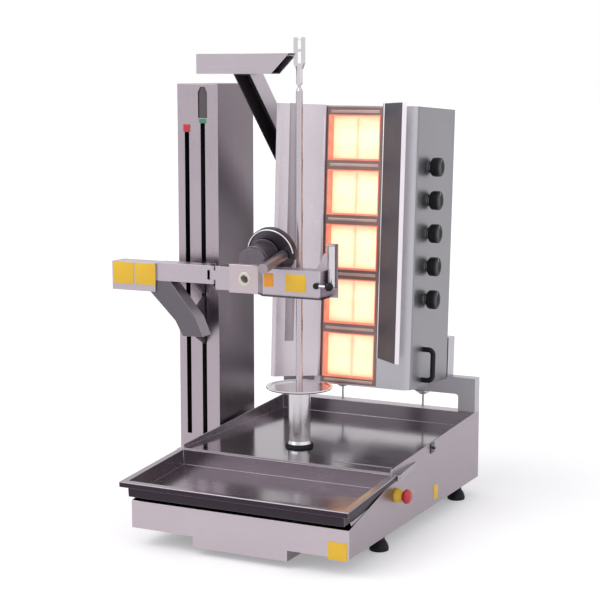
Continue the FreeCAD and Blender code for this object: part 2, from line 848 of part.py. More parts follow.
def make_meat_disc():
    body = new_body("meat_disc")
    low = "disc_top - disc_thick"
    turn(body, "front", [("rod_rad + run_gap", low), ("disc_rad - disc_thick / 2", low),
                         ("disc_rad", f"{low} + disc_thick / 2"), ("disc_rad", "disc_top"),
                         ("disc_rad - disc_thick", "disc_top"), ("disc_rad - 2 * disc_thick", "disc_top - deck_wall"),
                         ("rod_rad + run_gap", "disc_top - deck_wall")])
    seat(body, "-spit_x", "spit_y")


def make_spit_rod():
    body = new_body("spit_rod")
    low = "disc_top - disc_thick - socket_deep"
    turn(body, "front", [("0", low), ("rod_rad", low), ("rod_rad", "rod_top - rod_rad"), ("pivot_rad", "rod_top"),
                         ("pivot_rad", "rod_top + pivot_long"), ("0", "rod_top + pivot_long")])
    seat(body, "-spit_x", "spit_y")


def make_top_bearing():
    body = new_body("top_bearing")
    turn(body, "front", [("pivot_rad + run_gap", "sleeve_low"), ("sleeve_rad - deck_wall", "sleeve_low"),
                         ("sleeve_rad", "sleeve_low + 2 * deck_wall"), ("sleeve_rad", "sleeve_top"),
                         ("0", "sleeve_top"), ("0", "rod_top + pivot_long + deck_wall"),
                         ("pivot_rad + run_gap", "rod_top + pivot_long + deck_wall")])
    half = "clevis_wide / 2"
    bar = "clevis_bar"
    fork = [(f"-{half}", "sleeve_top + clevis_bar"), ("-sleeve_rad", "sleeve_top - clevis_bar"),
            ("sleeve_rad", "sleeve_top - clevis_bar"), (half, "sleeve_top + clevis_bar"), (half, "clevis_top"),
            (f"-{half}", "clevis_top")]
    start = "-clevis_deep / 2"
    prism(body, "front", fork, start, "clevis_deep")
    middle = "(sleeve_top + clevis_top) / 2"
    cut_prism(body, "front", box(f"{bar} - {half}", "sleeve_top + clevis_bar", f"{half} - {bar}", middle),
              start, "clevis_deep")
    cut_prism(body, "front", box(f"{bar} - {half}", f"{middle} + {bar}", f"{half} - {bar}",
                                 f"clevis_top - {bar}"), start, "clevis_deep")
    cut_prism(body, "front", box(f"{bar} - {half}", f"clevis_top - {bar} + deck_wall", f"{half} - {bar}",
                                 "clevis_top"), start, "clevis_deep")
    reach = "bracket_right - spit_x"
    height = "bracket_low + bracket_high - bracket_wall - stay_rad"
    rod(body, "side", "0", height, "stay_rad", f"-({reach}) - clevis_wide", f"{reach} + clevis_wide / 2 + {bar}")
    seat(body, "-spit_x", "spit_y")


def gear_wheel(body, teeth, low, shaft):
    """A spur gear round the body's upright axis: a plain rim, and one tooth repeated round it."""
    pitch = f"(gear_module * {teeth} / 2)"
    root = f"({pitch} - tooth_foot * gear_module)"
    tip = f"({pitch} + gear_module - tooth_slack)"
    rod(body, "top", "0", "0", root, low, "gear_thick")
    base_half = "(gear_module * tooth_base)"
    pitch_half = "(gear_module * pi / 4 - tooth_slack / 2)"
    tip_half = "(gear_module * tooth_tip)"
    tooth = [(f"{root} - gear_module / 2", f"-{base_half}"), (root, f"-{base_half}"), (pitch, f"-{pitch_half}"),
             (tip, f"-{tip_half}"), (tip, tip_half), (pitch, pitch_half), (root, base_half),
             (f"{root} - gear_module / 2", base_half)]
    one = prism(body, "top", tooth, low, "gear_thick")
    ring_of(body, one, teeth)
    bore(body, "top", "0", "0", shaft, low, "gear_thick")


def make_gears():
    wheel = new_body("drive_gear")
    gear_wheel(wheel, "gear_teeth", "gear_low", "shaft_rad + run_gap")
    seat(wheel, "-spit_x", "spit_y")
    pinion = new_body("motor_pinion")
    gear_wheel(pinion, "pinion_teeth", "gear_low", "motor_shaft_rad")
    rod(pinion, "top", "0", "0", "motor_shaft_rad", "casting_low - deck_hole",
        "gear_low + gear_thick - casting_low + deck_hole")
    centres = "gear_module * (gear_teeth + pinion_teeth) / 2"
    # A tooth of the wheel points at the pinion, which turns a gap to it: an odd count has one there already.
    half_pitch = "180 / pinion_teeth * (1 - pinion_teeth % 2)"
    seat(pinion, f"-spit_x + {centres}", "spit_y", "0", Vector(0, 0, 1), half_pitch)


def make_spit_gearmotor():
    body = new_body("spit_gearmotor")
    left = "-casting_left"
    roof = "deck_top - deck_wall"
    shape = [(left, "casting_low"), ("casting_right", "casting_low"),
             ("casting_right", "casting_low + casting_wall"), (f"{left} + casting_wall", "casting_low + casting_wall"),
             (f"{left} + casting_wall", f"{roof} - casting_roof"), ("casting_right", f"{roof} - casting_roof"),
             ("casting_right", roof), (left, roof)]
    prism(body, "front", shape, "-casting_deep / 2", "casting_deep")
    bore(body, "top", "0", "0", "shaft_rad + run_gap", f"{roof} - casting_roof", "casting_roof")
    bore(body, "top", "0", "0", "shaft_rad + run_gap", "casting_low", "casting_wall")
    centres = "gear_module * (gear_teeth + pinion_teeth) / 2"
    rod(body, "top", centres, "0", "motor_rad", "motor_low", "casting_low - motor_low")
    bore(body, "top", centres, "0", "motor_shaft_rad + run_gap", "casting_low - deck_hole - free_gap",
         "casting_wall + deck_hole + free_gap")
    seat(body, "-spit_x", "spit_y")


# Column and lift

COLUMN_RIGHT = "-(base_wide + column_gap)"
COLUMN_LEFT = "-(base_wide + column_gap + column_wide)"
COLUMN_MIDDLE = "-(base_wide + column_gap + column_wide / 2)"


def make_column():
    body = new_body("column_shell")
    wall = "column_wall"
    rear = "column_front + column_deep"
    top = f"column_top - {wall}"
    prism(body, "top", box(COLUMN_LEFT, "column_front", COLUMN_RIGHT, rear), "0", top)
    cut_prism(body, "top", box(f"{COLUMN_LEFT} + {wall}", f"column_front + {wall}", f"{COLUMN_RIGHT} - {wall}",
                               f"{rear} - {wall}"), wall, top)
    for middle, slot_top in (("-slot_1_x", "slot_1_top"), ("-slot_2_x", "slot_2_top")):
        cut_prism(body, "front", box(f"{middle} - slot_wide / 2", "slot_low", f"{middle} + slot_wide / 2", slot_top),
                  "column_front", wall)
    half = "window_wide / 2"
    cut_prism(body, "front", [(f"-slot_2_x - {half}", "window_low"), (f"-slot_2_x + {half}", "window_low"),
                              (f"-slot_2_x + {half}", f"window_top - {half}"),
                              ("-slot_2_x + window_wide / 4", "window_top"),
                              ("-slot_2_x - window_wide / 4", "window_top"),
                              (f"-slot_2_x - {half}", f"window_top - {half}")], "column_front", wall)
    seat(body)


def make_column_cap():
    body = new_body("column_cap")
    wall = "column_wall"
    rear = "column_front + column_deep"
    inner_left = f"{COLUMN_LEFT} + {wall} + free_gap"
    inner_right = f"{COLUMN_RIGHT} - {wall} - free_gap"
    prism(body, "top", box(COLUMN_LEFT, "column_front", COLUMN_RIGHT, rear), f"column_top - {wall}", wall)
    axle = "pulley_high"
    for left in (f"{COLUMN_MIDDLE} - pulley_wide / 2 - pulley_flange - free_gap - cheek_thick",
                 f"{COLUMN_MIDDLE} + pulley_wide / 2 + pulley_flange + free_gap"):
        prism(body, "side", box("pulley_y - pulley_rad / 2", f"{axle} - pulley_rad", "pulley_y + pulley_rad / 2",
                                f"column_top - {wall}"), left, "cheek_thick")
        bore(body, "side", "pulley_y", axle, "axle_rad + run_gap", left, "cheek_thick")
    for left in (inner_left, f"{inner_right} - {wall}"):
        prism(body, "top", box(left, f"column_front + {wall} + free_gap", f"{left} + {wall}",
                               "guide_y - 2 * guide_rad"), f"column_top - 10 * {wall}", f"9 * {wall}")
    seat(body)


def make_column_mount():
    pads = []
    for index in range(2):
        body = member(new_body("pad"))
        low = f"pad_low + {index} * pad_pitch"
        prism(body, "top", box(COLUMN_RIGHT, "column_front + 2 * foot_neck", "-base_wide",
                               "column_front + 2 * foot_neck + pad_long"), low, "pad_high")
        seat(body)
        pads.append(body)
    group("column_mount", pads)


def make_slot_stops():
    stops = []
    for middle, top in (("-slot_1_x", "slot_1_top"), ("-slot_2_x", "slot_2_top")):
        body = member(new_body("stop"))
        half = "slot_wide / 2"
        prism(body, "front", box(f"{middle} - {half}", f"{top} - stop_high", f"{middle} + {half}", top),
              "column_front - column_wall", "stop_deep")
        prism(body, "front", box(f"{middle} - {half} - column_wall", f"{top} - stop_high / 2",
                                 f"{middle} + {half} + column_wall", f"{top} + column_wall"),
              "column_front - column_wall", "column_wall")
        seat(body)
        stops.append(body)
    group("slot_stops", stops)


def make_guide_rods():
    rods = []
    for sign in ("-", "+"):
        body = member(new_body("guide"))
        rod(body, "top", f"{COLUMN_MIDDLE} {sign} guide_half", "guide_y", "guide_rad", "column_wall",
            "column_top - 2 * column_wall")
        seat(body)
        rods.append(body)
    group("guide_rods", rods)


def make_lift_motor():
    body = new_body("lift_motor")
    left = f"{COLUMN_MIDDLE} + pulley_wide / 2 + pulley_flange + free_gap"
    right = f"{COLUMN_RIGHT} - column_wall"
    rod(body, "side", "pulley_y", "pulley_low", "lift_motor_rad", left, f"{right} - ({left})")
    bore(body, "side", "pulley_y", "pulley_low", "axle_rad + run_gap", left, "2 * axle_rad")
    seat(body)


def make_pulleys():
    for label, height, reach in (("upper_pulley", "pulley_high", "cheek_thick"),
                                 ("lower_pulley", "pulley_low", "2 * axle_rad - free_gap")):
        body = new_body(label)
        half = "pulley_wide / 2"
        rod(body, "side", "0", "0", "pulley_rad", f"-{half}", "pulley_wide")
        for start in (f"-{half} - pulley_flange", half):
            rod(body, "side", "0", "0", "pulley_rad + 3 * belt_thick", start, "pulley_flange")
        rod(body, "side", "0", "0", "axle_rad", f"{half} + pulley_flange", f"{reach} + free_gap")
        rod(body, "side", "0", "0", "axle_rad", f"-{half} - pulley_flange - cheek_thick - free_gap",
            "cheek_thick + free_gap")
        seat(body, COLUMN_MIDDLE, "pulley_y", height)


def make_lift_belt():
    body = new_body("lift_belt")
    inner = "pulley_rad + free_gap"
    outer = f"{inner} + belt_thick"
    wide = "pulley_wide - 2 * free_gap"
    left = f"-({wide}) / 2"
    prism(body, "side", box(f"-({outer})", "pulley_low", outer, "pulley_high"), left, wide)
    for height in ("pulley_low", "pulley_high"):
        rod(body, "side", "0", height, outer, left, wide)
    cut_prism(body, "side", box(f"-({inner})", "pulley_low", inner, "pulley_high"), left, wide)
    for height in ("pulley_low", "pulley_high"):
        bore(body, "side", "0", height, inner, left, wide)
    seat(body, COLUMN_MIDDLE, "pulley_y", "0")


def make_carriage_block():
    body = new_body("carriage_block")
    rear = "pulley_y - pulley_rad - belt_thick - 2 * free_gap"
    arm_rear = "arm_front + arm_deep"
    prism(body, "top", box(f"{COLUMN_MIDDLE} - block_wide / 2", "block_front", f"{COLUMN_MIDDLE} + block_wide / 2",
                           rear), "arm_low - arm_high", "block_top - arm_low + arm_high")
    for sign in ("-", "+"):
        bore(body, "top", f"{COLUMN_MIDDLE} {sign} guide_half", "guide_y", "guide_rad + run_gap",
             "arm_low - arm_high", "block_top - arm_low + arm_high")
    prism(body, "side", box(arm_rear, "arm_low", "block_front", "block_top"), "-slot_1_x - tongue_wide / 2",
          "tongue_wide")
    strut_rear = "arm_front + strut_deep"
    web = [(arm_rear, "arm_low"), ("column_front + 2 * arm_wall", "arm_low - arm_deep"),
           (strut_rear, "strut_foot_low + arm_deep"), (strut_rear, "strut_foot_low"),
           ("column_front + 2 * arm_wall", "block_low"), ("block_front", "block_low"), ("block_front", "block_top"),
           (arm_rear, "block_top")]
    prism(body, "side", web, "-slot_2_x - tongue_wide / 2", "tongue_wide")
    prism(body, "side", box("block_front", "block_low", "guide_y - guide_rad - 2 * free_gap", "arm_low - arm_high"),
          "-slot_2_x - tongue_wide / 2", "tongue_wide")
    seat(body)


# Mast, diagonal brace and top bracket


def make_rear_mast():
    body = new_body("rear_mast")
    left = "-mast_right - mast_wide"
    wall = "mast_wall"
    top = "bracket_low - (bridge_front - bracket_front) + brace_deep"
    rear = "bridge_front + mast_deep"
    prism(body, "side", [("bridge_front", "beam_top"), (rear, "beam_top"), (rear, f"{top} - mast_deep"),
                         ("bridge_front", top)], left, "mast_wide")
    cut_prism(body, "side", [(f"bridge_front + {wall}", f"beam_top + {wall}"),
                             (f"{rear} - {wall}", f"beam_top + {wall}"),
                             (f"{rear} - {wall}", f"{top} - mast_deep - {wall}"),
                             (f"bridge_front + {wall}", f"{top} - 3 * {wall}")],
              f"{left} + {wall}", f"mast_wide - 2 * {wall}")
    seat(body)


def make_diagonal_brace():
    body = new_body("diagonal_brace")
    left = "-mast_right - mast_wide"
    wall = "mast_wall"
    drop = "bracket_low - (bridge_front - bracket_front)"
    prism(body, "side", [("bracket_front", "bracket_low"), ("bracket_front + brace_deep", "bracket_low"),
                         ("bridge_front", f"{drop} + brace_deep"), ("bridge_front", drop)], left, "mast_wide")
    inner = f"brace_deep - {wall} * 1.414"
    cut_prism(body, "side", [("bracket_front - mast_wide", "bracket_low + mast_wide"),
                             (f"bracket_front + {inner} - mast_wide", "bracket_low + mast_wide"),
                             (f"bridge_front + mast_wide", f"{drop} + {inner} - mast_wide"),
                             (f"bridge_front + mast_wide", f"{drop} - mast_wide"),
                             ("bracket_front - mast_wide", f"{drop} - mast_wide")],
              f"{left} + {wall}", f"mast_wide - 2 * {wall}")
    prism(body, "side", [("bracket_front", "bracket_low"), ("bracket_front + brace_deep", "bracket_low"),
                         (f"bracket_front + brace_deep + {wall}", f"bracket_low - {wall}"),
                         (f"bracket_front + {wall}", f"bracket_low - {wall}")], left, "mast_wide")
    seat(body)


def make_top_bracket():
    body = new_body("top_bracket")
    wall = "bracket_wall"
    top = "bracket_low + bracket_high"
    rear = "bracket_front + bracket_deep"
    prism(body, "front", [("-bracket_left", "bracket_low"), ("-bracket_right - bracket_high", "bracket_low"),
                          ("-bracket_right", top), ("-bracket_left", top)], "bracket_front", "bracket_deep")
    cut_prism(body, "side", box(f"bracket_front + {wall}", f"bracket_low + {wall}", f"{rear} - {wall}",
                                f"{top} - {wall}"), f"{wall} - bracket_left", "bracket_left - bracket_right")
    seat(body)


# Cutting arm


def make_cross_arm():
    body = new_body("cross_arm")
    wall = "arm_wall"
    rear = "arm_front + arm_deep"
    top = "arm_low + arm_high"
    prism(body, "front", box("-arm_left", "arm_box_low", "-arm_box_right", "arm_box_low + arm_box_high"),
          f"arm_front - 2 * {wall}", f"arm_deep + 4 * {wall}")
    prism(body, "front", box("-arm_box_right", "arm_low", "-arm_right", top), "arm_front", "arm_deep")
    cut_prism(body, "front", box(f"{wall} - arm_left", f"arm_box_low + {wall}", f"-arm_box_right - {wall}",
                                 f"arm_box_low + arm_box_high - {wall}"), f"arm_front - {wall}",
              f"arm_deep + 2 * {wall}")
    cut_prism(body, "side", box(f"arm_front + {wall}", f"arm_low + {wall}", f"{rear} - {wall}", f"{top} - {wall}"),
              "-arm_box_right", "arm_box_right - arm_right")
    for low in ("arm_low", f"{top} - lug_high"):
        prism(body, "top", box("-arm_right - lug_rad", "pin_y - lug_rad", "-pin_x", "pin_y + lug_rad"), low,
              "lug_high")
        rod(body, "top", "-pin_x", "pin_y", "lug_rad", low, "lug_high")
        bore(body, "top", "-pin_x", "pin_y", "pin_rad + run_gap", low, "lug_high")
    seat(body)


def make_arm_strut():
    body = new_body("arm_strut")
    wall = "strut_wall"
    shape = [("-strut_top_left", "arm_box_low"), ("-arm_box_right", "arm_box_low"), ("-arm_box_right", "arm_low"),
             ("-strut_top_right", "arm_low"), ("-strut_foot_right", "strut_foot_low + arm_deep"),
             ("-strut_foot_right + strut_wall * 8", "strut_foot_low"), ("-slot_2_x", "strut_foot_low - strut_wall"),
             ("-strut_foot_left", "strut_foot_low + arm_deep - 4 * strut_wall")]
    prism(body, "front", shape, "arm_front", "strut_deep")
    inside = [(f"-strut_top_left + 2 * {wall}", f"arm_box_low - {wall}"),
              (f"-strut_top_right - 3 * {wall}", f"arm_box_low - {wall}"),
              (f"-strut_foot_right - 2 * {wall}", "strut_foot_low + arm_deep"),
              (f"-strut_foot_right + strut_wall * 5", f"strut_foot_low + {wall}"),
              ("-slot_2_x", f"strut_foot_low + {wall}"),
              (f"-strut_foot_left + 2 * {wall}", "strut_foot_low + arm_deep - 4 * strut_wall")]
    cut_prism(body, "front", inside, f"arm_front + {wall}", f"strut_deep - 2 * {wall}")
    seat(body)


def make_swing_pin():
    body = new_body("swing_pin")
    top = "arm_low + arm_high"
    turn(body, "front", [("0", "arm_low - lug_high / 2"), ("pin_head_rad", "arm_low - lug_high / 2"),
                         ("pin_head_rad", "arm_low"), ("pin_rad", "arm_low"), ("pin_rad", top),
                         ("pin_head_rad", top), ("pin_head_rad", f"{top} + lug_high / 2"),
                         ("0", f"{top} + lug_high / 2")])
    seat(body, "-pin_x", "pin_y")


# Cutting head


def make_head_carrier():
    body = new_body("head_carrier")
    wall = "arm_wall"
    top = "arm_low + arm_high"
    rear = "arm_front + arm_deep"
    prism(body, "front", box("-carrier_left", "carrier_low", "-carrier_right", top), "arm_front", "arm_deep")
    cut_prism(body, "side", box(f"arm_front + {wall}", f"carrier_low + {wall}", f"{rear} - {wall}", f"{top} - {wall}"),
              f"{wall} - carrier_left", "carrier_left - carrier_right")
    low = "arm_low + lug_high + free_gap"
    high = "arm_high - 2 * lug_high - 2 * free_gap"
    prism(body, "top", box("-pin_x", "pin_y - lug_rad", "-carrier_left + arm_wall", "pin_y + lug_rad"), low, high)
    rod(body, "top", "-pin_x", "pin_y", "lug_rad", low, high)
    bore(body, "top", "-pin_x", "pin_y", "pin_rad + run_gap", low, high)
    seat(body)


def make_head_gearbox():
    body = new_body("head_gearbox")
    step = "-spindle_x - blade_rad + foot_rim"
    prism(body, "top", [("-carrier_right", "gearbox_front"), ("-gearbox_right", "gearbox_front"),
                        ("-gearbox_right", "arm_front + deck_wall"), (step, "arm_front + deck_wall"),
                        (step, "gearbox_front + gearbox_deep"), ("-carrier_right", "gearbox_front + gearbox_deep")],
          "gearbox_low", "gearbox_high")
    soften(body, "deck_wall", lambda middle, way: middle.y < value("gearbox_front + 1"))
    rod(body, "front", "-bolt_x", "bolt_z", "bolt_rad + deck_wall", "gearbox_front - bolt_high / 3", "bolt_high / 3")
    half = "bolt_long / 2"
    flat = "bolt_rad / 2"
    prism(body, "front", [(f"-bolt_x - {half} * 0.7 - {flat}", f"bolt_z + {half} * 0.7 - {flat}"),
                          (f"-bolt_x + {half} * 0.7 - {flat}", f"bolt_z - {half} * 0.7 - {flat}"),
                          (f"-bolt_x + {half} * 0.7 + {flat}", f"bolt_z - {half} * 0.7 + {flat}"),
                          (f"-bolt_x - {half} * 0.7 + {flat}", f"bolt_z + {half} * 0.7 + {flat}")],
          "gearbox_front - bolt_high", "bolt_high")
    seat(body)


def make_head_housing():
    body = new_body("head_housing")
    wall = "housing_wall"
    plan = [("-gearbox_right", "housing_rear"), ("-gearbox_right", "housing_front + housing_bevel"),
            ("-gearbox_right + housing_bevel", "housing_front"), ("-housing_right - deck_wall", "housing_front"),
            ("-housing_right", "housing_front + deck_wall"), ("-housing_right", "housing_rear")]
    prism(body, "top", plan, "housing_low", "housing_high")
    inner = [(f"{wall} - gearbox_right", f"housing_rear - {wall}"),
             (f"{wall} - gearbox_right", f"housing_front + housing_bevel + {wall}"),
             (f"{wall} - gearbox_right + housing_bevel", f"housing_front + {wall}"),
             (f"-housing_right - {wall}", f"housing_front + {wall}"),
             (f"-housing_right - {wall}", f"housing_rear - {wall}")]
    cut_prism(body, "top", inner, "housing_low", f"housing_high - {wall}")
    top = "housing_low + housing_high"
    under = "spindle_z - blade_motor_rad / cos(spindle_tilt) - free_gap"
    rise = "tan(spindle_tilt)"
    prism(body, "side", [("saddle_front", top), ("saddle_rear", top),
                         ("saddle_rear", f"{under} - (spindle_y - saddle_rear) * {rise}"),
                         ("saddle_front", f"{under} - (spindle_y - saddle_front) * {rise}")],
          "-spindle_x - saddle_half / 2", "saddle_half")
    rod(body, "front", "-lever_x", "lever_z", "lever_hub", f"housing_front + {wall}", "lever_pin_long")
    bore(body, "front", "-lever_x", "lever_z", "lever_pin + run_gap", "housing_front", "lever_pin_long")
    seat(body)


def make_head_sole():
    body = new_body("head_sole")
    prism(body, "top", [("-gearbox_right", "housing_rear"), ("-gearbox_right", "housing_front + housing_bevel"),
                        ("-gearbox_right + housing_bevel", "housing_front - sole_over"),
                        ("-housing_right + sole_over", "housing_front - sole_over"),
                        ("-housing_right + sole_over", "housing_rear")], "housing_low - sole_thick", "sole_thick")
    seat(body)


def make_blade_guard():
    body = new_body("blade_guard")
    back = "-guard_back"
    front = f"{back} + guard_plate"
    turn(body, "side", [(back, "guard_inner"), (back, "guard_rad"), ("2 * blade_thick", "guard_rad"),
                        ("2 * blade_thick", "guard_rad - guard_plate"), (front, "guard_rad - guard_plate"),
                        (front, "guard_inner")], "guard_angle", "H_Axis")
    seat_on_spindle(body)


def make_blade_motor():
    body = new_body("blade_motor")
    rear = "-guard_back - guard_plate"
    front = f"{rear} - blade_motor_long"
    start = f"{front} + motor_cap_long"
    rod(body, "front", "0", "0", "blade_motor_rad", start, f"blade_motor_long - motor_cap_long")
    rod(body, "front", "0", "0", "blade_motor_rad - deck_wall", front, "motor_cap_long")
    rod(body, "front", "0", "0", "blade_motor_rad + flange_over", rear, "guard_plate")
    bore(body, "front", "0", "0", "blade_shaft_rad + run_gap", f"{rear} - blade_shaft_long",
         "blade_shaft_long + guard_plate")
    seat_on_spindle(body)


def make_grip_bar():
    body = new_body("grip_bar")
    rear = "-guard_back - guard_plate"
    rod(body, "front", "grip_out", "0", "grip_rad", f"{rear} - grip_long", "grip_long")
    seat_on_spindle(body)


def make_round_blade():
    body = new_body("round_blade")
    turn(body, "top", [("0", "-hub_long"), ("hub_rad", "-hub_long"), ("hub_rad", "0"), ("blade_rad - hub_rad", "0"),
                       ("blade_rad", "blade_thick / 2"), ("blade_rad - hub_rad", "blade_thick"),
                       ("hub_rad", "blade_thick"), ("hub_rad / 2", "blade_thick + hub_long / 2"),
                       ("0", "blade_thick + hub_long / 2")])
    start = "-guard_back - guard_plate - blade_shaft_long + free_gap"
    rod(body, "front", "0", "0", "blade_shaft_rad", start, f"-({start}) - hub_long")
    seat_on_spindle(body)


def make_roller_plate():
    body = new_body("roller_plate")
    prism(body, "front", [("-plate_left", "housing_low - sole_thick"), ("-plate_right", "housing_low - sole_thick"),
                          ("-plate_right", "plate_top"), ("-plate_slope_x", "plate_top"),
                          ("-plate_left", "plate_slope_z")], "housing_rear", "plate_thick")
    for low in ("ear_low", "plate_top - ear_thick"):
        prism(body, "top", box("-roller_x - ear_wide / 2", "housing_rear - ear_deep", "-plate_right",
                               "housing_rear"), low, "ear_thick")
        bore(body, "top", "-roller_x", "roller_y", "roller_axle + run_gap", low, "ear_thick")
    bore(body, "front", "-roller_x - ear_wide", "plate_top - ear_wide", "2 * roller_axle", "housing_rear",
         "plate_thick")
    seat(body)


def make_guide_roller():
    body = new_body("guide_roller")
    low = "ear_low + ear_thick + free_gap"
    high = "plate_top - ear_thick - free_gap"
    turn(body, "front", [("0", "ear_low"), ("roller_axle", "ear_low"), ("roller_axle", low),
                         ("roller_rad - deck_wall / 2", low), ("roller_rad", f"{low} + deck_wall / 2"),
                         ("roller_rad", f"{high} - deck_wall / 2"), ("roller_rad - deck_wall / 2", high),
                         ("roller_axle", high), ("roller_axle", "plate_top"), ("0", "plate_top")])
    seat(body, "-roller_x", "roller_y")


def make_thickness_lever():
    body = new_body("thickness_lever")
    front = "housing_front - free_gap - lever_thick"
    rod(body, "front", "0", "0", "lever_hub", front, "lever_thick")
    rod(body, "front", "0", "0", "lever_pin", "housing_front - free_gap", "lever_pin_long + free_gap")
    rod(body, "side", f"{front} + lever_thick / 2", "0", "lever_rod", "0", "lever_reach - lever_ball / 2")
    ball = body.newObject("PartDesign::AdditiveSphere", "Ball")
    ball.setExpression("Radius", size("lever_ball"))
    ball.setExpression(".AttachmentOffset.Base.x", size("lever_reach"))
    ball.setExpression(".AttachmentOffset.Base.y", size(f"{front} + lever_thick / 2"))
    ball.AttachmentSupport = [(next(f for f in body.Origin.OriginFeatures if f.Role == "XY_Plane"), "")]
    ball.MapMode = "FlatFace"
    doc.recompute()
    seat(body, "-lever_x", "0", "lever_z")


# Burner unit, in its leaning frame: x from the middle of the mouth, y into its depth, z up its height


def make_burner_housing():
    body = new_body("burner_housing")
    wall = "unit_wall"
    prism(body, "top", box("-unit_left", "0", "unit_right", "unit_deep"), "0", "unit_high")
    soften(body, "unit_corner", lambda middle, way: abs(way.z) > 0.9 and middle.x > 0 and middle.y < 1)
    cut_prism(body, "top", box(f"{wall} - unit_left", "unit_corner", f"unit_right - {wall}",
                               f"unit_deep - {wall}"), wall, f"unit_high - 2 * {wall}")
    cut_prism(body, "top", box(f"{wall} - unit_left", wall, "unit_right - unit_corner", "unit_corner"), wall,
              f"unit_high - 2 * {wall}")
    cut_prism(body, "front", box("-mouth_half", "mouth_low", "mouth_half", "unit_high - mouth_low"), "0", wall)
    for across in ("slide_rod_inset - unit_left", "unit_right - slide_rod_inset"):
        bore(body, "front", across, "slide_rod_w", "slide_rod_rad + run_gap", f"unit_deep - {wall}", wall)
    for index in range(int(value("burner_count"))):
        bore(body, "side", "pipe_v", f"knob_first + {index} * knob_pitch", "knob_stem_rad + run_gap",
             f"unit_right - {wall}", wall)
    seat_on_unit(body)


def make_burner_frame():
    body = new_body("burner_frame")
    half = "(mouth_half - frame_fit)"
    low = "mouth_low + frame_fit"
    high = "unit_high - mouth_low - frame_fit"
    prism(body, "front", box(f"-{half}", low, half, high), "0", "frame_deep")
    first = cut_prism(body, "front", box("-window_half", "burner_first - window_high / 2", "window_half",
                                         "burner_first + window_high / 2"), "0", "frame_deep")
    repeat(body, first, "front", "Z_Axis", "burner_pitch", "burner_count")
    hollow_low = "burner_first + window_high / 2 + frame_wall"
    hollow = cut_prism(body, "front", box(f"frame_wall - {half}", hollow_low, f"{half} - frame_wall",
                                          f"{hollow_low} + burner_pitch - window_high - 2 * frame_wall"),
                       "frame_wall", "frame_deep")
    repeat(body, hollow, "front", "Z_Axis", "burner_pitch", "burner_count - 1")
    seat_on_unit(body)


def make_ceramic_tiles():
    tiles = []
    for row in range(int(value("burner_count"))):
        for side in ("-tile_wide - tile_gap / 2", "tile_gap / 2"):
            tile = doc.addObject("Part::Box", "tile")
            tile.setExpression("Length", size("tile_wide"))
            tile.setExpression("Width", size("tile_thick"))
            tile.setExpression("Height", size("tile_high"))
            tile.setExpression(".Placement.Base.x", size(side))
            tile.setExpression(".Placement.Base.y", size("frame_deep"))
            tile.setExpression(".Placement.Base.z", size(f"burner_first - tile_high / 2 + {row} * burner_pitch"))
            tiles.append(tile)
    seat_on_unit(group("ceramic_tiles", tiles))


def make_burner_plenums():
    plenums = []
    for row in range(int(value("burner_count"))):
        body = member(new_body("plenum"))
        low = f"burner_first - tile_high / 2 + {row} * burner_pitch"
        start = "frame_deep + tile_thick"
        prism(body, "front", box("-tile_wide - tile_gap / 2", low, "tile_wide + tile_gap / 2", f"{low} + tile_high"),
              start, "plenum_deep")
        cut_prism(body, "front", box("plenum_wall - tile_wide", f"{low} + plenum_wall", "tile_wide - plenum_wall",
                                     f"{low} + tile_high - plenum_wall"), start, "plenum_deep - plenum_wall")
        bore(body, "side", "pipe_v - foot_rim", f"burner_first + {row} * burner_pitch", "jet_rad",
             "tile_wide - 2 * plenum_wall", "3 * plenum_wall")
        plenums.append(body)
    seat_on_unit(group("burner_plenums", plenums))


def make_gas_manifold():
    body = new_body("gas_manifold")
    rod(body, "top", "pipe_x", "pipe_v", "pipe_rad", "slide_rod_w", "knob_first + burner_count * knob_pitch - slide_rod_w")
    for index in range(int(value("burner_count"))):
        height = f"knob_first + {index} * knob_pitch"
        prism(body, "side", box("pipe_v - valve_half", f"{height} - valve_half", "pipe_v + valve_half",
                                f"{height} + valve_half"), "pipe_x", "unit_right - unit_wall - pipe_x")
        bore(body, "side", "pipe_v", height, "knob_stem_rad + run_gap", "unit_right - unit_wall - knob_stem_long",
             "knob_stem_long")
    for index in range(int(value("burner_count"))):
        height = f"burner_first + {index} * burner_pitch"
        rod(body, "side", "pipe_v - foot_rim", height, "jet_rad - run_gap", "tile_wide - plenum_wall",
            "pipe_x - tile_wide")
    prism(body, "side", box("pipe_v - pipe_rad", "burner_first - pipe_rad", "pipe_v", "burner_first + pipe_rad"),
          "pipe_x - pipe_rad / 2", "pipe_rad")
    seat_on_unit(body)


def make_pull_handle():
    body = new_body("pull_handle")
    start = "handle_v - handle_bar / 2"
    high = "handle_low + handle_high"
    prism(body, "front", box("unit_right", "handle_low", "unit_right + handle_out", high), start, "handle_bar")
    soften(body, "handle_corner", lambda middle, way: abs(way.y) > 0.9 and middle.x > value("unit_right + 1"))
    cut_prism(body, "front", box("unit_right", "handle_low + handle_bar", "unit_right + handle_out - handle_bar",
                                 f"{high} - handle_bar"), start, "handle_bar")
    seat_on_unit(body)


def make_carry_brackets():
    parts = []
    for left, middle in (("-unit_left", "slide_rod_inset - unit_left"),
                         ("unit_right - carry_wide", "unit_right - slide_rod_inset")):
        body = member(new_body("carry"))
        front = "unit_deep + carry_gap"
        rear = "unit_deep + carry_gap + carry_deep"
        foot = "(beam_top - unit_z + ({v}) * sin(lean)) / cos(lean)"
        shape = [(front, foot.format(v=front)), (rear, foot.format(v=rear)), (rear, "carry_top"),
                 (front, "carry_top")]
        prism(body, "side", shape, left, "carry_wide")
        rod(body, "front", middle, "slide_rod_w", "slide_rod_rad", f"{front} - slide_rod_long", "slide_rod_long")
        parts.append(body)
    seat_on_unit(group("carry_brackets", parts))


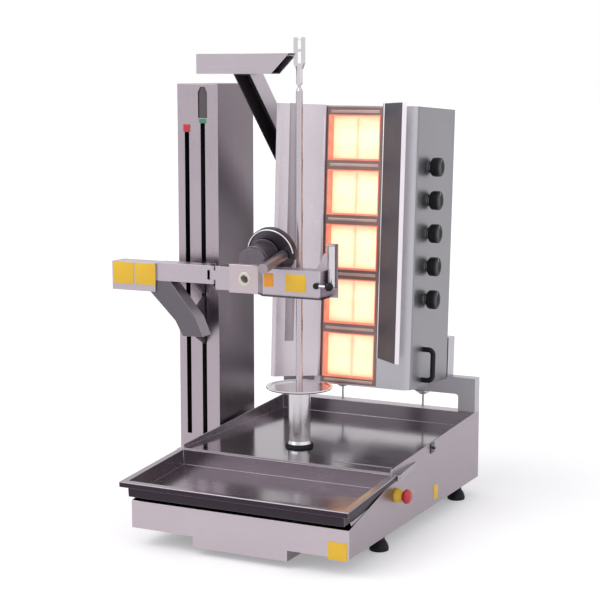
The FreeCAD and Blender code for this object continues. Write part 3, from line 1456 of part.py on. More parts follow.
def make_wing(label, sign, low, high):
    """A sheet bent forward at 45 degrees, with a hem at its free edge and a hinge barrel at its root."""
    body = new_body(label)
    barrel = "(wing_barrel + free_gap)"
    root = f"{sign}(mouth_half + wing_barrel)"
    step = "wing_thick * 0.707"
    tip = f"{root} {sign}wing_reach" if sign == "-" else f"{root} + wing_reach"
    into = "+" if sign == "-" else "-"
    plan = [(f"{root} {into} {step}", f"-{barrel} - {step}"), (f"{root} {'-' if sign == '-' else '+'} {step}", f"-{barrel} + {step}"),
            (f"{tip} {'-' if sign == '-' else '+'} {step}", f"-{barrel} - wing_reach + {step}"),
            (f"{tip} {'-' if sign == '-' else '+'} wing_hem", f"-{barrel} - wing_reach + {step}"),
            (f"{tip} {'-' if sign == '-' else '+'} wing_hem", f"-{barrel} - wing_reach + {step} - wing_thick"),
            (f"{tip} {into} {step}", f"-{barrel} - wing_reach + {step} - wing_thick")]
    prism(body, "top", plan, low, high)
    rod(body, "top", root, f"-{barrel}", "wing_barrel", low, high)
    seat_on_unit(body)


def make_knobs():
    for index in range(int(value("burner_count"))):
        body = new_body(f"gas_knob_{index + 1}")
        height = f"knob_first + {index} * knob_pitch"
        start = "unit_right + free_gap"
        rod(body, "side", "pipe_v", height, "knob_rad", start, "knob_skirt")
        rod(body, "side", "pipe_v", height, "knob_grip_rad", f"{start} + knob_skirt",
            "knob_out - knob_skirt - knob_bar")
        prism(body, "side", box("pipe_v - knob_bar / 2", f"{height} - knob_grip_rad", "pipe_v + knob_bar / 2",
                                f"{height} + knob_grip_rad"), f"{start} + knob_skirt", "knob_out - knob_skirt")
        rod(body, "side", "pipe_v", height, "knob_stem_rad", f"{start} - knob_stem_long", "knob_stem_long")
        seat_on_unit(body)


def main():
    make_base_body()
    make_deck_pan()
    make_deck_insert()
    make_tray_guides()
    make_front_tray()
    make_feet()
    make_estop()
    make_side_latch()
    make_rear_bridge()
    make_tie_rods()
    make_floor_ring()
    make_drive_post()
    make_meat_disc()
    make_spit_rod()
    make_top_bearing()
    make_gears()
    make_spit_gearmotor()
    make_column()
    make_column_cap()
    make_column_mount()
    make_slot_stops()
    make_guide_rods()
    make_lift_motor()
    make_pulleys()
    make_lift_belt()
    make_carriage_block()
    make_rear_mast()
    make_diagonal_brace()
    make_top_bracket()
    make_cross_arm()
    make_arm_strut()
    make_swing_pin()
    make_head_carrier()
    make_head_gearbox()
    make_head_housing()
    make_head_sole()
    make_blade_guard()
    make_blade_motor()
    make_grip_bar()
    make_round_blade()
    make_roller_plate()
    make_guide_roller()
    make_thickness_lever()
    make_burner_housing()
    make_burner_frame()
    make_ceramic_tiles()
    make_burner_plenums()
    make_gas_manifold()
    make_pull_handle()
    make_carry_brackets()
    make_wing("left_wing", "-", "left_wing_low", "left_wing_high")
    make_wing("right_wing", "", "right_wing_low", "right_wing_high")
    make_knobs()
    doc.recompute()
    write_parts()


def write_parts():
    """Checks every object, then writes each sub-part to its own STEP file."""
    for thing in doc.Objects:
        if {"Invalid", "Error"} & set(thing.State):
            raise RuntimeError(f"{thing.Name} of {thing.Label} is {thing.State}")
    for part in sub_parts:
        if part.Shape.isNull() or not part.Shape.isValid():
            raise RuntimeError(f"{part.Label} has no valid shape")
    os.makedirs("parts", exist_ok=True)
    for part in sub_parts:
        part.Shape.exportStep(f"parts/{part.Label}.step")
    print(len(sub_parts), "sub-parts written")


main()
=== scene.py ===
import json
import math

import bmesh
import bpy
from bpy.props import FloatProperty, FloatVectorProperty, PointerProperty
from mathutils import Matrix, Vector


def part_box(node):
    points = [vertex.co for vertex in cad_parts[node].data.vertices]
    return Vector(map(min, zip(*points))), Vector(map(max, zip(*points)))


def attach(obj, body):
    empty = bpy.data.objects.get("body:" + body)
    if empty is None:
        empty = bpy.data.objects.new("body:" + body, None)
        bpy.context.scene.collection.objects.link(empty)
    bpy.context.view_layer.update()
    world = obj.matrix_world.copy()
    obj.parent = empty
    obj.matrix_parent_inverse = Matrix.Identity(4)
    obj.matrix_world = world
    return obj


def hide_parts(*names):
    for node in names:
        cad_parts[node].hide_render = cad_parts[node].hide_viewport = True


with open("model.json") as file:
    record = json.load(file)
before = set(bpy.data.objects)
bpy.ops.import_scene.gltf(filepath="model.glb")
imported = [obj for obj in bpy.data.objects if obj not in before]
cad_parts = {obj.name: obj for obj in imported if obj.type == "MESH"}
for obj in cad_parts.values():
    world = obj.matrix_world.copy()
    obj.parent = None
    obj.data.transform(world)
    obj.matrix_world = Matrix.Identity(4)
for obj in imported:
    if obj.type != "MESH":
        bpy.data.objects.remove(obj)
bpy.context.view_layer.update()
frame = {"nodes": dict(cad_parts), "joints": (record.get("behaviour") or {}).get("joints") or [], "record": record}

bl_info = {
    "name": "Doner Grill Finish",
    "version": (1, 0, 0),
    "blender": (4, 5, 0),
    "location": "View3D > Sidebar > Grill",
    "description": "Sheet-metal edges, burners, trim and finishes for the doner grill",
    "category": "Object",
}

NODES = frame["nodes"]
BODY_OF = {node: body for body, nodes in frame["record"]["behaviour"]["bodies"].items() for node in nodes}
JOINT = {joint["name"]: joint for joint in frame["joints"]}
# The base's front right bottom corner, from which the sizes of the sheet-metal work are taken.
CORNER = Vector((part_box("base_body")[1].x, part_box("base_body")[0].y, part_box("rubber_feet")[1].z))
LEAN = math.asin(JOINT["burner_slide"]["axis"][2])
TRAY_SLOPE = -math.asin(JOINT["tray_slide"]["axis"][2])
RIGHT = Vector((1, 0, 0))
FRONT = Vector((0, -1, 0))
# The leaning burner unit's upward and outward ways.
UP = Vector((0, math.sin(LEAN), math.cos(LEAN)))
OUT = Vector((0, -math.cos(LEAN), math.sin(LEAN)))
# The least angle between two faces whose edge is a fold, and the distance under which two points are one.
SHARP = math.radians(28)
WELD = 1e-6
# A face this large, in square metres, is flat sheet, so the rounded folds beside it don't bend its light.
FLAT_SHEET = 0.002
# Radii put on the folds of thin sheet, fine sheet and plain sheet.
THIN_FOLD, FINE_FOLD, SHEET_FOLD = 0.0004, 0.0005, 0.0006
# The burner openings: how far the frame's sides reach in, their height, and where their record boxes start.
WINDOW_SIDE = 0.0122
WINDOW_HIGH = 0.128
WINDOW_BOX_BACK = 0.016
WINDOW_BOX_DOWN = 0.062


# Settings

def tint(name, text, default):
    return FloatVectorProperty(name=name, description=text, default=default, subtype="COLOR", size=3,
                               min=0, max=1)


def length(name, text, default):
    return FloatProperty(name=name, description=text, default=default, unit="LENGTH", min=0)


def share(name, text, default):
    return FloatProperty(name=name, description=text, default=default, min=0, max=10)


class StageSettings(bpy.types.PropertyGroup):
    lens: FloatProperty(name="Lens", description="Camera lens in millimetres", default=94.1)
    camera_place: FloatVectorProperty(name="Camera", description="Where the camera stands",
                                      default=(2.1497, -4.099, 1.323), subtype="TRANSLATION")
    camera_turn: FloatProperty(name="Turn", description="The camera's turn from the front",
                               default=math.radians(26.7), subtype="ANGLE")
    camera_dip: FloatProperty(name="Dip", description="How far the camera looks down",
                              default=math.radians(8.23), subtype="ANGLE")
    floor: tint("Floor", "Colour of the floor", (0.86, 0.85, 0.87))
    floor_lift: share("Floor lift", "Light that the floor adds for the camera alone", 0.3)
    sky: share("Sky", "Strength of the even studio light", 0.62)
    key: share("Key", "Strength of the lamp at the front left", 1.3)
    fill: share("Fill", "Strength of the lamp at the right", 0.35)


class SheetSettings(bpy.types.PropertyGroup):
    column: tint("Column", "Brushed sheet of the column's sides", (0.2, 0.17, 0.19))
    arm: tint("Arms", "Satin sheet of the arms and the bracket", (0.46, 0.41, 0.45))
    base: tint("Base", "Satin sheet of the base", (0.5, 0.44, 0.48))
    deck: tint("Deck", "Polished sheet of the deck", (0.27, 0.24, 0.265))
    tray: tint("Tray", "Sheet of the front tray", (0.31, 0.275, 0.305))
    wing: tint("Wings", "Satin sheet of the wings", (0.56, 0.51, 0.55))
    box: tint("Control box", "Satin sheet of the control box", (0.44, 0.43, 0.46))
    scorched: tint("Burner frame", "Heat-tinted sheet round the tiles", (0.25, 0.165, 0.155))
    # Painted shade: dark sheet put on the faces inside the channels, the column and the mast, on the open end of
    # the top bracket, and on the guide rods.
    inside_shade: tint("Insides", "Dull sheet inside the channels and the column", (0.042, 0.032, 0.039))
    shade: tint("Shaded sheet", "Duller sheet of the strut and the insides", (0.145, 0.13, 0.15))
    # Painted highlight: the front faces of the column and its cap, and the deck pan's faces that face right, get
    # this lighter copy of their steel.
    strip: tint("Column front", "Folded front strips, and the deck's side walls", (0.4, 0.345, 0.385))
    # Painted reflection: a darker strip on the left wing's inner face, standing for the spit rod's reflection in
    # it.
    rod_reflection: tint("Wing strip", "Strip along the left wing", (0.36, 0.32, 0.355))
    wing_back: tint("Wing back", "Shaded face of the right wing", (0.085, 0.085, 0.105))
    tray_wall: tint("Tray wall", "Shaded outer walls of the tray", (0.045, 0.035, 0.045))
    # Painted highlight: the deck pan's front wall is painted pale and less metallic, so that it looks lit.
    apron: tint("Apron", "Bright front wall of the deck pan", (0.5, 0.43, 0.49))
    # Painted highlight: the ribs are a paler copy of the frame's sheet, standing for the light band across each
    # separator.
    rib: tint("Ribs", "Warm ribs between the burner openings", (0.5, 0.36, 0.33))
    # Partly painted highlight: the right wing's faces other than its inner one, and the guard's rim, get this
    # bright colour for the light they catch; the lever's rod is bright steel.
    hem: tint("Hems", "Bright rolled hems and rims", (0.78, 0.74, 0.78))
    turned: tint("Turned parts", "Turned stainless steel", (0.6, 0.58, 0.6))
    rod: tint("Spit rod", "Drawn rod of the spit", (0.5, 0.45, 0.49))
    bend: length("Bend", "Radius put on the folds of thick sheet", 0.0008)


class HeadSettings(bpy.types.PropertyGroup):
    gearbox: tint("Gearbox", "Satin casting of the gearbox", (0.5, 0.43, 0.45))
    washer: tint("Washer", "Cream washer round the gearbox bolt", (0.6, 0.57, 0.46))
    grip: tint("Grip", "Grip bar over the housing", (0.33, 0.29, 0.31))
    motor: tint("Motor", "Painted drum of the motor", (0.14, 0.12, 0.14))
    blade: tint("Blade", "Polished round blade", (0.72, 0.72, 0.74))
    dark_steel: tint("Dark steel", "Oiled and darkened steel", (0.09, 0.08, 0.095))
    bright: tint("Pulleys", "Bare machined pulleys", (0.62, 0.6, 0.6))
    cast: tint("Castings", "Grey castings of the motors", (0.33, 0.33, 0.34))
    brass: tint("Brass", "Brass of the gas manifold", (0.7, 0.5, 0.22))


class TrimSettings(bpy.types.PropertyGroup):
    yellow: tint("Yellow", "Blank yellow plates and the stop's collar", (0.82, 0.5, 0.03))
    orange: tint("Orange", "Blank orange plate", (0.85, 0.33, 0.03))
    red: tint("Red", "Push button and left slot stop", (0.55, 0.03, 0.04))
    green: tint("Green", "Right slot stop", (0.05, 0.26, 0.15))
    black: tint("Black", "Moulded plastic and rubber", (0.006, 0.006, 0.008))
    mark: tint("Mark", "Pointer on a knob", (0.4, 0.4, 0.4))
    # Painted shade: a dark plate that stands for the shaded opening above the right slot.
    window: tint("Window", "Dusky cover over the right slot", (0.09, 0.075, 0.085))
    plate: length("Plate", "Thickness of the blank plates", 0.0008)


class BurnerSettings(bpy.types.PropertyGroup):
    tile: tint("Tile", "Fired clay of the tiles", (0.95, 0.8, 0.55))
    glow: tint("Glow", "Colour of the hot tile faces", (1.0, 0.87, 0.56))
    # The ember colour is both the tiles' own red rim and the painted glow round the openings.
    ember_and_painted_glow: tint("Ember", "Colour of the tile edges and the hot reveals", (0.85, 0.13, 0.07))
    strength: share("Strength", "How bright the hot tiles are", 0.75)
    pore: tint("Pore", "Colour of the tiles' holes", (0.5, 0.3, 0.15))
    # Painted glow: these set the red emission painted on the steel round the openings, standing for the tiles'
    # light falling on it.
    glow_patch: tint("Flame", "Brighter patches of the hot reveals", (0.95, 0.3, 0.2))
    reveal_strength: share("Reveal strength", "How bright the hot reveals are", 0.7)
    hole: length("Hole pitch", "Distance between the burner holes", 0.0042)


def settings(name):
    return getattr(bpy.context.scene, name)


# Finishes

MADE = {}
LEAST_ROUGH = 0.05
GRAIN_DEEP = 0.0003
# How close the grain lies along x, y and z; a sheet is brushed along the axis of its small number.
UPRIGHT = (900, 900, 6)
FINE_UPRIGHT = (1600, 1600, 4)
ACROSS = (6, 900, 900)
INWARD = (900, 6, 900)
EVEN = (420, 420, 420)
TURNED = (60, 60, 1400)
# The share of a sheet's colour that is left on sides which face away from the key lamp.
BASE_SIDE = 0.72
PANEL_SIDE = 0.62


def add(tree, kind, **values):
    """A shader node of that kind, with its own settings."""
    node = tree.nodes.new(kind)
    for key, val in values.items():
        setattr(node, key, val)
    return node


def feed(tree, given, socket):
    """Links an output to a socket, or sets the socket to a number or a colour."""
    if isinstance(given, bpy.types.NodeSocket):
        tree.links.new(given, socket)
    elif isinstance(given, (int, float)):
        socket.default_value = given
    else:
        socket.default_value = (*given[:3], 1)


def math_node(tree, operation, first, second=None, clamp=False):
    node = add(tree, "ShaderNodeMath", operation=operation, use_clamp=clamp)
    feed(tree, first, node.inputs[0])
    if second is not None:
        feed(tree, second, node.inputs[1])
    return node.outputs[0]


def mix_colour(tree, factor, first, second):
    node = add(tree, "ShaderNodeMix", data_type="RGBA")
    for name, given in (("Factor_Float", factor), ("A_Color", first), ("B_Color", second)):
        feed(tree, given, next(socket for socket in node.inputs if socket.identifier == name))
    return next(socket for socket in node.outputs if socket.identifier == "Result_Color")


def noise(tree, place, **values):
    """Noise over a place; a value is a number or an output."""
    node = add(tree, "ShaderNodeTexNoise")
    tree.links.new(place, node.inputs["Vector"])
    for key, val in values.items():
        feed(tree, val, node.inputs[key])
    return node.outputs["Fac"]


def bump(tree, height, strength, deep, shader, invert=False):
    """Raises a shader's surface by a height."""
    node = add(tree, "ShaderNodeBump", invert=invert)
    node.inputs["Strength"].default_value = strength
    node.inputs["Distance"].default_value = deep
    tree.links.new(height, node.inputs["Height"])
    tree.links.new(node.outputs["Normal"], shader.inputs["Normal"])


def new_material(name):
    material = bpy.data.materials.new(name)
    material.use_nodes = True
    return material, material.node_tree, material.node_tree.nodes["Principled BSDF"]


def new_group(name, inputs):
    """An empty finish group; it puts out a colour, a roughness and a height."""
    tree = bpy.data.node_groups.new(name, "ShaderNodeTree")
    for label, kind, default in inputs:
        socket = tree.interface.new_socket(name=label, in_out="INPUT", socket_type=kind)
        socket.default_value = default
    for label, kind in (("Colour", "NodeSocketColor"), ("Roughness", "NodeSocketFloat"),
                        ("Height", "NodeSocketFloat")):
        tree.interface.new_socket(name=label, in_out="OUTPUT", socket_type=kind)
    return tree, add(tree, "NodeGroupInput").outputs, add(tree, "NodeGroupOutput").inputs


def shaded_colour(tree, colour, level, fold_highlight, highlight_colour):
    """A colour times a level, turned toward the highlight colour on the folds as a painted highlight."""
    scaled = add(tree, "ShaderNodeVectorMath", operation="SCALE")
    tree.links.new(colour, scaled.inputs[0])
    tree.links.new(level, scaled.inputs["Scale"])
    fold = add(tree, "ShaderNodeAttribute", attribute_name="fold")
    amount = math_node(tree, "MULTIPLY", fold.outputs["Fac"], fold_highlight)
    return mix_colour(tree, amount, scaled.outputs[0], highlight_colour)


def sheet_group():
    """Brushed or satin sheet: a grain drawn out along one way, smudges, and folds painted bright as a painted
    highlight.
    """
    if "sheet" in MADE:
        return MADE["sheet"]
    tree, given, out = new_group(
        "Sheet finish",
        [("Colour", "NodeSocketColor", (0.5, 0.5, 0.5, 1)), ("Grain scale", "NodeSocketVector", (1, 1, 1)),
         ("Grain", "NodeSocketFloat", 0.12), ("Smudge", "NodeSocketFloat", 0.12),
         ("Rough", "NodeSocketFloat", 0.3), ("Fold", "NodeSocketFloat", 0.35)])
    # The last of these is the pale colour that the folds turn toward, a painted highlight.
    smudge_scale, contrast, rough_swing, fold_highlight = 7, 2.0, 0.22, (0.8, 0.79, 0.8)
    place = add(tree, "ShaderNodeTexCoord").outputs["Object"]
    drawn = add(tree, "ShaderNodeVectorMath", operation="MULTIPLY")
    tree.links.new(place, drawn.inputs[0])
    tree.links.new(given["Grain scale"], drawn.inputs[1])
    grain = noise(tree, drawn.outputs[0], Scale=1, Detail=3)
    smudge = noise(tree, place, Scale=smudge_scale, Detail=4, Roughness=0.6)
    lines = math_node(tree, "SUBTRACT", grain, 0.5)
    clouds = math_node(tree, "SUBTRACT", smudge, 0.5)
    shade = math_node(tree, "ADD", math_node(tree, "MULTIPLY", lines, given["Grain"]),
                      math_node(tree, "MULTIPLY", clouds, given["Smudge"]))
    level = math_node(tree, "ADD", math_node(tree, "MULTIPLY", shade, contrast), 1.0)
    tree.links.new(shaded_colour(tree, given["Colour"], level, given["Fold"], fold_highlight), out["Colour"])
    uneven = math_node(tree, "MULTIPLY", math_node(tree, "ADD", lines, clouds), rough_swing)
    rough = math_node(tree, "ADD", given["Rough"], uneven)
    tree.links.new(math_node(tree, "MAXIMUM", rough, LEAST_ROUGH), out["Roughness"])
    tree.links.new(grain, out["Height"])
    MADE["sheet"] = tree
    return tree


def dust_group():
    """Fine specks and a soft cloudiness for plastic, rubber, paint and castings."""
    if "dust" in MADE:
        return MADE["dust"]
    tree, given, out = new_group(
        "Fine specks",
        [("Colour", "NodeSocketColor", (0.5, 0.5, 0.5, 1)), ("Scale", "NodeSocketFloat", 900),
         ("Amount", "NodeSocketFloat", 0.15), ("Rough", "NodeSocketFloat", 0.4)])
    # fold and the grey after it turn the folds lighter, a painted highlight.
    cloud_scale, rough_swing, fold, fold_highlight = 22, 0.2, 0.12, (0.5, 0.5, 0.5)
    place = add(tree, "ShaderNodeTexCoord").outputs["Object"]
    specks = noise(tree, place, Scale=given["Scale"], Detail=2)
    cloud = noise(tree, place, Scale=cloud_scale)
    uneven = math_node(tree, "ADD", math_node(tree, "SUBTRACT", specks, 0.5),
                       math_node(tree, "SUBTRACT", cloud, 0.5))
    level = math_node(tree, "ADD", math_node(tree, "MULTIPLY", uneven, given["Amount"]), 1.0)
    tree.links.new(shaded_colour(tree, given["Colour"], level, fold, fold_highlight), out["Colour"])
    rough = math_node(tree, "ADD", given["Rough"], math_node(tree, "MULTIPLY", uneven, rough_swing))
    tree.links.new(math_node(tree, "MAXIMUM", rough, LEAST_ROUGH), out["Roughness"])
    tree.links.new(specks, out["Height"])
    MADE["dust"] = tree
    return tree


def surface(name, group, colour, metallic, raised, inputs, gloss=0.5):
    """A material whose colour, roughness and bump come from one of the finish groups."""
    material, tree, shader = new_material(name)
    made = add(tree, "ShaderNodeGroup", node_tree=group)
    made.inputs["Colour"].default_value = (*colour, 1)
    for key, val in inputs.items():
        made.inputs[key].default_value = val
    shader.inputs["Metallic"].default_value = metallic
    shader.inputs["Specular IOR Level"].default_value = gloss
    tree.links.new(made.outputs["Colour"], shader.inputs["Base Color"])
    tree.links.new(made.outputs["Roughness"], shader.inputs["Roughness"])
    bump(tree, made.outputs["Height"], raised, GRAIN_DEEP, shader)
    return material


def sheet(name, colour, rough, grain_scale=UPRIGHT, grain=0.06, smudge=0.05, fold=0.3, raised=0.12):
    return surface(name, sheet_group(), colour, 1.0, raised, {
        "Rough": rough, "Grain scale": grain_scale, "Grain": grain, "Smudge": smudge, "Fold": fold})


def moulded(name, colour, rough, amount, scale=900, raised=0.1, metallic=0.0, gloss=0.5):
    return surface(name, dust_group(), colour, metallic, raised, {
        "Rough": rough, "Amount": amount, "Scale": scale}, gloss)


def finish(name):
    """The finish of that name, made when it is first asked for."""
    steel, head = settings("grill_sheet"), settings("grill_head")
    trim, fire = settings("grill_trim"), settings("grill_burner")
    makers = {
        "column": lambda: sheet(name, steel.column, 0.34),
        "column_strip": lambda: sheet(name, steel.strip, 0.3),
        "arm": lambda: sheet(name, steel.arm, 0.34, ACROSS),
        "base": lambda: sheet(name, steel.base, 0.34, ACROSS),
        "base_side": lambda: sheet(name, [BASE_SIDE * part for part in steel.base], 0.36, INWARD),
        "box": lambda: sheet(name, steel.box, 0.34),
        "panel": lambda: sheet(name, [PANEL_SIDE * part for part in steel.box], 0.4, EVEN, 0.04, 0.06),
        "shade": lambda: sheet(name, steel.shade, 0.5, UPRIGHT, 0.05, 0.08, 0.2),
        "hem": lambda: sheet(name, steel.hem, 0.3, UPRIGHT, 0.04, 0.04),
        "strip": lambda: sheet(name, steel.rod_reflection, 0.4, UPRIGHT, 0.03, 0.04),
        "deck": lambda: sheet(name, steel.deck, 0.13, ACROSS, 0.03, 0.1, 0.6),
        "deck_wall": lambda: sheet(name, steel.strip, 0.26, ACROSS, 0.04, 0.06),
        "tray": lambda: sheet(name, steel.tray, 0.22, ACROSS, 0.04, 0.08, 0.6),
        "tray_wall": lambda: sheet(name, steel.tray_wall, 0.4, ACROSS, 0.05, 0.1),
        "wing": lambda: sheet(name, steel.wing, 0.3, FINE_UPRIGHT, 0.03, 0.04, 0.3, 0.05),
        "scorched": lambda: sheet(name, steel.scorched, 0.42, ACROSS, 0.1, 0.25),
        "rib": lambda: sheet(name, steel.rib, 0.4, ACROSS, 0.08, 0.2),
        "turned": lambda: sheet(name, steel.turned, 0.2, TURNED, 0.05, 0.04),
        "rod": lambda: sheet(name, steel.rod, 0.3, TURNED, 0.05, 0.04),
        "inside_shade": lambda: moulded(name, steel.inside_shade, 0.6, 0.2, 300, 0.05, 0, 0.2),
        "apron": lambda: moulded(name, steel.apron, 0.42, 0.08, 500, 0.05, 0.45),
        "wing_back": lambda: moulded(name, steel.wing_back, 0.55, 0.12, 400, 0.05, 0.1, 0.3),
        "gearbox": lambda: sheet(name, head.gearbox, 0.38, EVEN, 0.04, 0.08),
        "washer": lambda: sheet(name, head.washer, 0.4, EVEN, 0.04, 0.05),
        "grip": lambda: sheet(name, head.grip, 0.34, EVEN, 0.05, 0.08),
        "blade": lambda: sheet(name, head.blade, 0.1, INWARD, 0.03, 0.03),
        "bright": lambda: sheet(name, head.bright, 0.3, EVEN, 0.04, 0.06),
        "dark_steel": lambda: sheet(name, head.dark_steel, 0.3, EVEN, 0.05, 0.1, 0.2),
        "brass": lambda: sheet(name, head.brass, 0.28, EVEN, 0.05, 0.08),
        "motor": lambda: moulded(name, head.motor, 0.3, 0.2, 700, 0.08, 0.7),
        "cast": lambda: moulded(name, head.cast, 0.55, 0.3, 500, 0.35, 0.8),
        "rubber": lambda: moulded(name, trim.black, 0.65, 0.4, 1200, 0.15, 0, 0.3),
        "plastic": lambda: moulded(name, trim.black, 0.45, 0.3, 1500, 0.1, 0, 0.25),
        "red": lambda: moulded(name, trim.red, 0.28, 0.1),
        "green": lambda: moulded(name, trim.green, 0.35, 0.1),
        "yellow": lambda: moulded(name, trim.yellow, 0.42, 0.08),
        "orange": lambda: moulded(name, trim.orange, 0.42, 0.08),
        "mark": lambda: moulded(name, trim.mark, 0.5, 0.05),
        "window": lambda: moulded(name, trim.window, 0.2, 0.1),
        "tile": lambda: hot_tile(name, fire),
        "reveal": lambda: painted_glow(name, fire),
    }
    if name not in MADE:
        MADE[name] = makers[name]()
    return MADE[name]


def hot_tile(name, fire):
    """Fired clay with a close grid of holes; the face glows cream and turns red at its rim."""
    rim_power, rim_heat, hole_heat, hole_wide = 7.0, 0.75, 0.12, 0.24
    material, tree, shader = new_material(name)
    axes = add(tree, "ShaderNodeSeparateXYZ")
    tree.links.new(add(tree, "ShaderNodeUVMap", uv_map="face").outputs["UV"], axes.inputs[0])
    rims = []
    for axis in (0, 1):
        away = math_node(tree, "ABSOLUTE", math_node(tree, "SUBTRACT", axes.outputs[axis], 0.5))
        rims.append(math_node(tree, "MULTIPLY", away, 2.0))
    rim = math_node(tree, "POWER", math_node(tree, "MAXIMUM", *rims), rim_power, True)
    place = add(tree, "ShaderNodeTexCoord").outputs["Object"]
    cells = add(tree, "ShaderNodeTexVoronoi", feature="F1")
    cells.inputs["Scale"].default_value = 1 / fire.hole
    cells.inputs["Randomness"].default_value = 0.25
    tree.links.new(place, cells.inputs["Vector"])
    hole = math_node(tree, "LESS_THAN", cells.outputs["Distance"], hole_wide)
    patchy = math_node(tree, "SUBTRACT", noise(tree, place, Scale=26), 0.45)
    patchy = math_node(tree, "MULTIPLY", patchy, 0.4, True)
    heat = math_node(tree, "ADD", math_node(tree, "MULTIPLY", rim, rim_heat), patchy, True)
    heat = math_node(tree, "ADD", heat, math_node(tree, "MULTIPLY", hole, hole_heat), True)
    tree.links.new(mix_colour(tree, heat, fire.glow, fire.ember_and_painted_glow), shader.inputs["Emission Color"])
    shader.inputs["Emission Strength"].default_value = fire.strength
    tree.links.new(mix_colour(tree, hole, fire.tile, fire.pore), shader.inputs["Base Color"])
    shader.inputs["Roughness"].default_value = 0.85
    bump(tree, hole, 0.5, 0.001, shader, invert=True)
    return material


def painted_glow(name, fire):
    """Painted glow: steel given a red emission in patches, standing for the light of the tiles beside it."""
    material, tree, shader = new_material(name)
    cloud = noise(tree, add(tree, "ShaderNodeTexCoord").outputs["Object"], Scale=40)
    tree.links.new(mix_colour(tree, cloud, fire.ember_and_painted_glow, fire.glow_patch), shader.inputs["Emission Color"])
    shader.inputs["Emission Strength"].default_value = fire.reveal_strength
    shader.inputs["Metallic"].default_value = 1
    tree.links.new(mix_colour(tree, cloud, (0.3, 0.12, 0.1), (0.45, 0.25, 0.2)), shader.inputs["Base Color"])
    shader.inputs["Roughness"].default_value = 0.45
    return material


# Shapes

def deck_place(x, y, z):
    """A point given in millimetres from the base's front right bottom corner."""
    return CORNER + Vector((x, y, z)) / 1000


def only(kind, parts):
    """Those of a bmesh operator's results that are of one kind."""
    return [part for part in parts if isinstance(part, kind)]


def close_mesh(bm, name, body, material, sharp=SHARP):
    """Ends a bmesh as a finished piece: at the origin, smooth between its folds, riding on its body."""
    mesh = bpy.data.meshes.new(name)
    bm.to_mesh(mesh)
    bm.free()
    mesh.shade_smooth()
    mesh.set_sharp_from_angle(angle=sharp)
    piece = bpy.data.objects.new(name, mesh)
    bpy.context.scene.collection.objects.link(piece)
    for one in material if isinstance(material, (list, tuple)) else [material]:
        mesh.materials.append(one)
    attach(piece, body)
    return piece


def stand_in(bm, node, material, sharp=SHARP):
    """Ends a bmesh as the piece that stands for a CAD node."""
    piece = close_mesh(bm, node + "_finish", BODY_OF[node], material, sharp)
    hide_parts(node)
    return piece


def bend_edges(bm, width, segments=2, angle=SHARP):
    """Rounds the sharp edges of a bmesh and marks the new faces as folds."""
    layer = bm.faces.layers.float.get("fold") or bm.faces.layers.float.new("fold")
    edges = [edge for edge in bm.edges if len(edge.link_faces) == 2 and edge.calc_face_angle(0) > angle]
    made = bmesh.ops.bevel(bm, geom=edges, offset=width, offset_type="OFFSET", segments=segments, profile=0.5,
                           affect="EDGES", clamp_overlap=True, material=-1)
    for face in made["faces"]:
        face[layer] = 1.0


def copied(node):
    """A welded bmesh copy of a CAD node, with its flat faces whole."""
    bm = bmesh.new()
    bm.from_mesh(NODES[node].data)
    bmesh.ops.remove_doubles(bm, verts=bm.verts[:], dist=WELD)
    bmesh.ops.dissolve_limit(bm, angle_limit=math.radians(0.3), verts=bm.verts[:], edges=bm.edges[:],
                             use_dissolve_boundaries=False, delimit=set())
    return bm


def dress(node, material, width=None, segments=2, paint=None):
    """A CAD node's copy with rounded folds, which stands for it; paint gives a face its material's number."""
    bm = copied(node)
    width = settings("grill_sheet").bend if width is None else width
    if width:
        bend_edges(bm, width, segments)
    if paint:
        bm.normal_update()
        for face in bm.faces:
            face.material_index = paint(face)
    piece = stand_in(bm, node, material)
    for face in piece.data.polygons:
        if face.area > FLAT_SHEET:
            face.use_smooth = False
    return piece


def facing(way, least=0.7):
    """Tells whether a face looks that way."""
    way = Vector(way)
    return lambda face: face.normal.dot(way) > least


def within(node, depth=0.0013):
    """Tells whether a face lies inside the walls of an upright box-shaped node."""
    low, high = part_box(node)

    def test(face):
        middle = face.calc_center_median()
        return all(low[axis] + depth < middle[axis] < high[axis] - depth for axis in (0, 1))
    return test


def by_rule(*rules):
    """Gives a face the number of the first rule that it meets, counted from 1, and otherwise 0."""
    def number(face):
        return next((index + 1 for index, rule in enumerate(rules) if rule(face)), 0)
    return number


def coat(material, *nodes):
    """Puts a finish on CAD nodes whose shape stays."""
    for node in nodes:
        mesh = NODES[node].data
        mesh.materials.clear()
        mesh.materials.append(material)


def box_of(bm, low, high):
    """Adds a box between two corners."""
    middle = (Vector(low) + Vector(high)) / 2
    spans = Vector(high) - Vector(low)
    shape = Matrix.Translation(middle) @ Matrix.Diagonal((*spans, 1))
    bmesh.ops.create_cube(bm, size=1.0, matrix=shape)


def lathe(bm, outline, place, axis=(0, 0, 1), steps=48):
    """Spins an outline of (radius, height) round an axis through a place."""
    before = set(bm.verts)
    ring = [bm.verts.new((radius, 0, height)) for radius, height in outline]
    edges = [bm.edges.new(pair) for pair in zip(ring, ring[1:])]
    bmesh.ops.spin(bm, geom=ring + edges, cent=(0, 0, 0), axis=(0, 0, 1), angle=2 * math.pi, steps=steps,
                   use_merge=True)
    fresh = [vert for vert in bm.verts if vert not in before]
    bmesh.ops.remove_doubles(bm, verts=fresh, dist=WELD)
    fresh = [vert for vert in bm.verts if vert not in before]
    faces = list({face for vert in fresh for face in vert.link_faces})
    bmesh.ops.recalc_face_normals(bm, faces=faces)
    turn = Vector(axis).to_track_quat("Z", "Y").to_matrix().to_4x4()
    bmesh.ops.transform(bm, matrix=Matrix.Translation(Vector(place)) @ turn, verts=fresh)


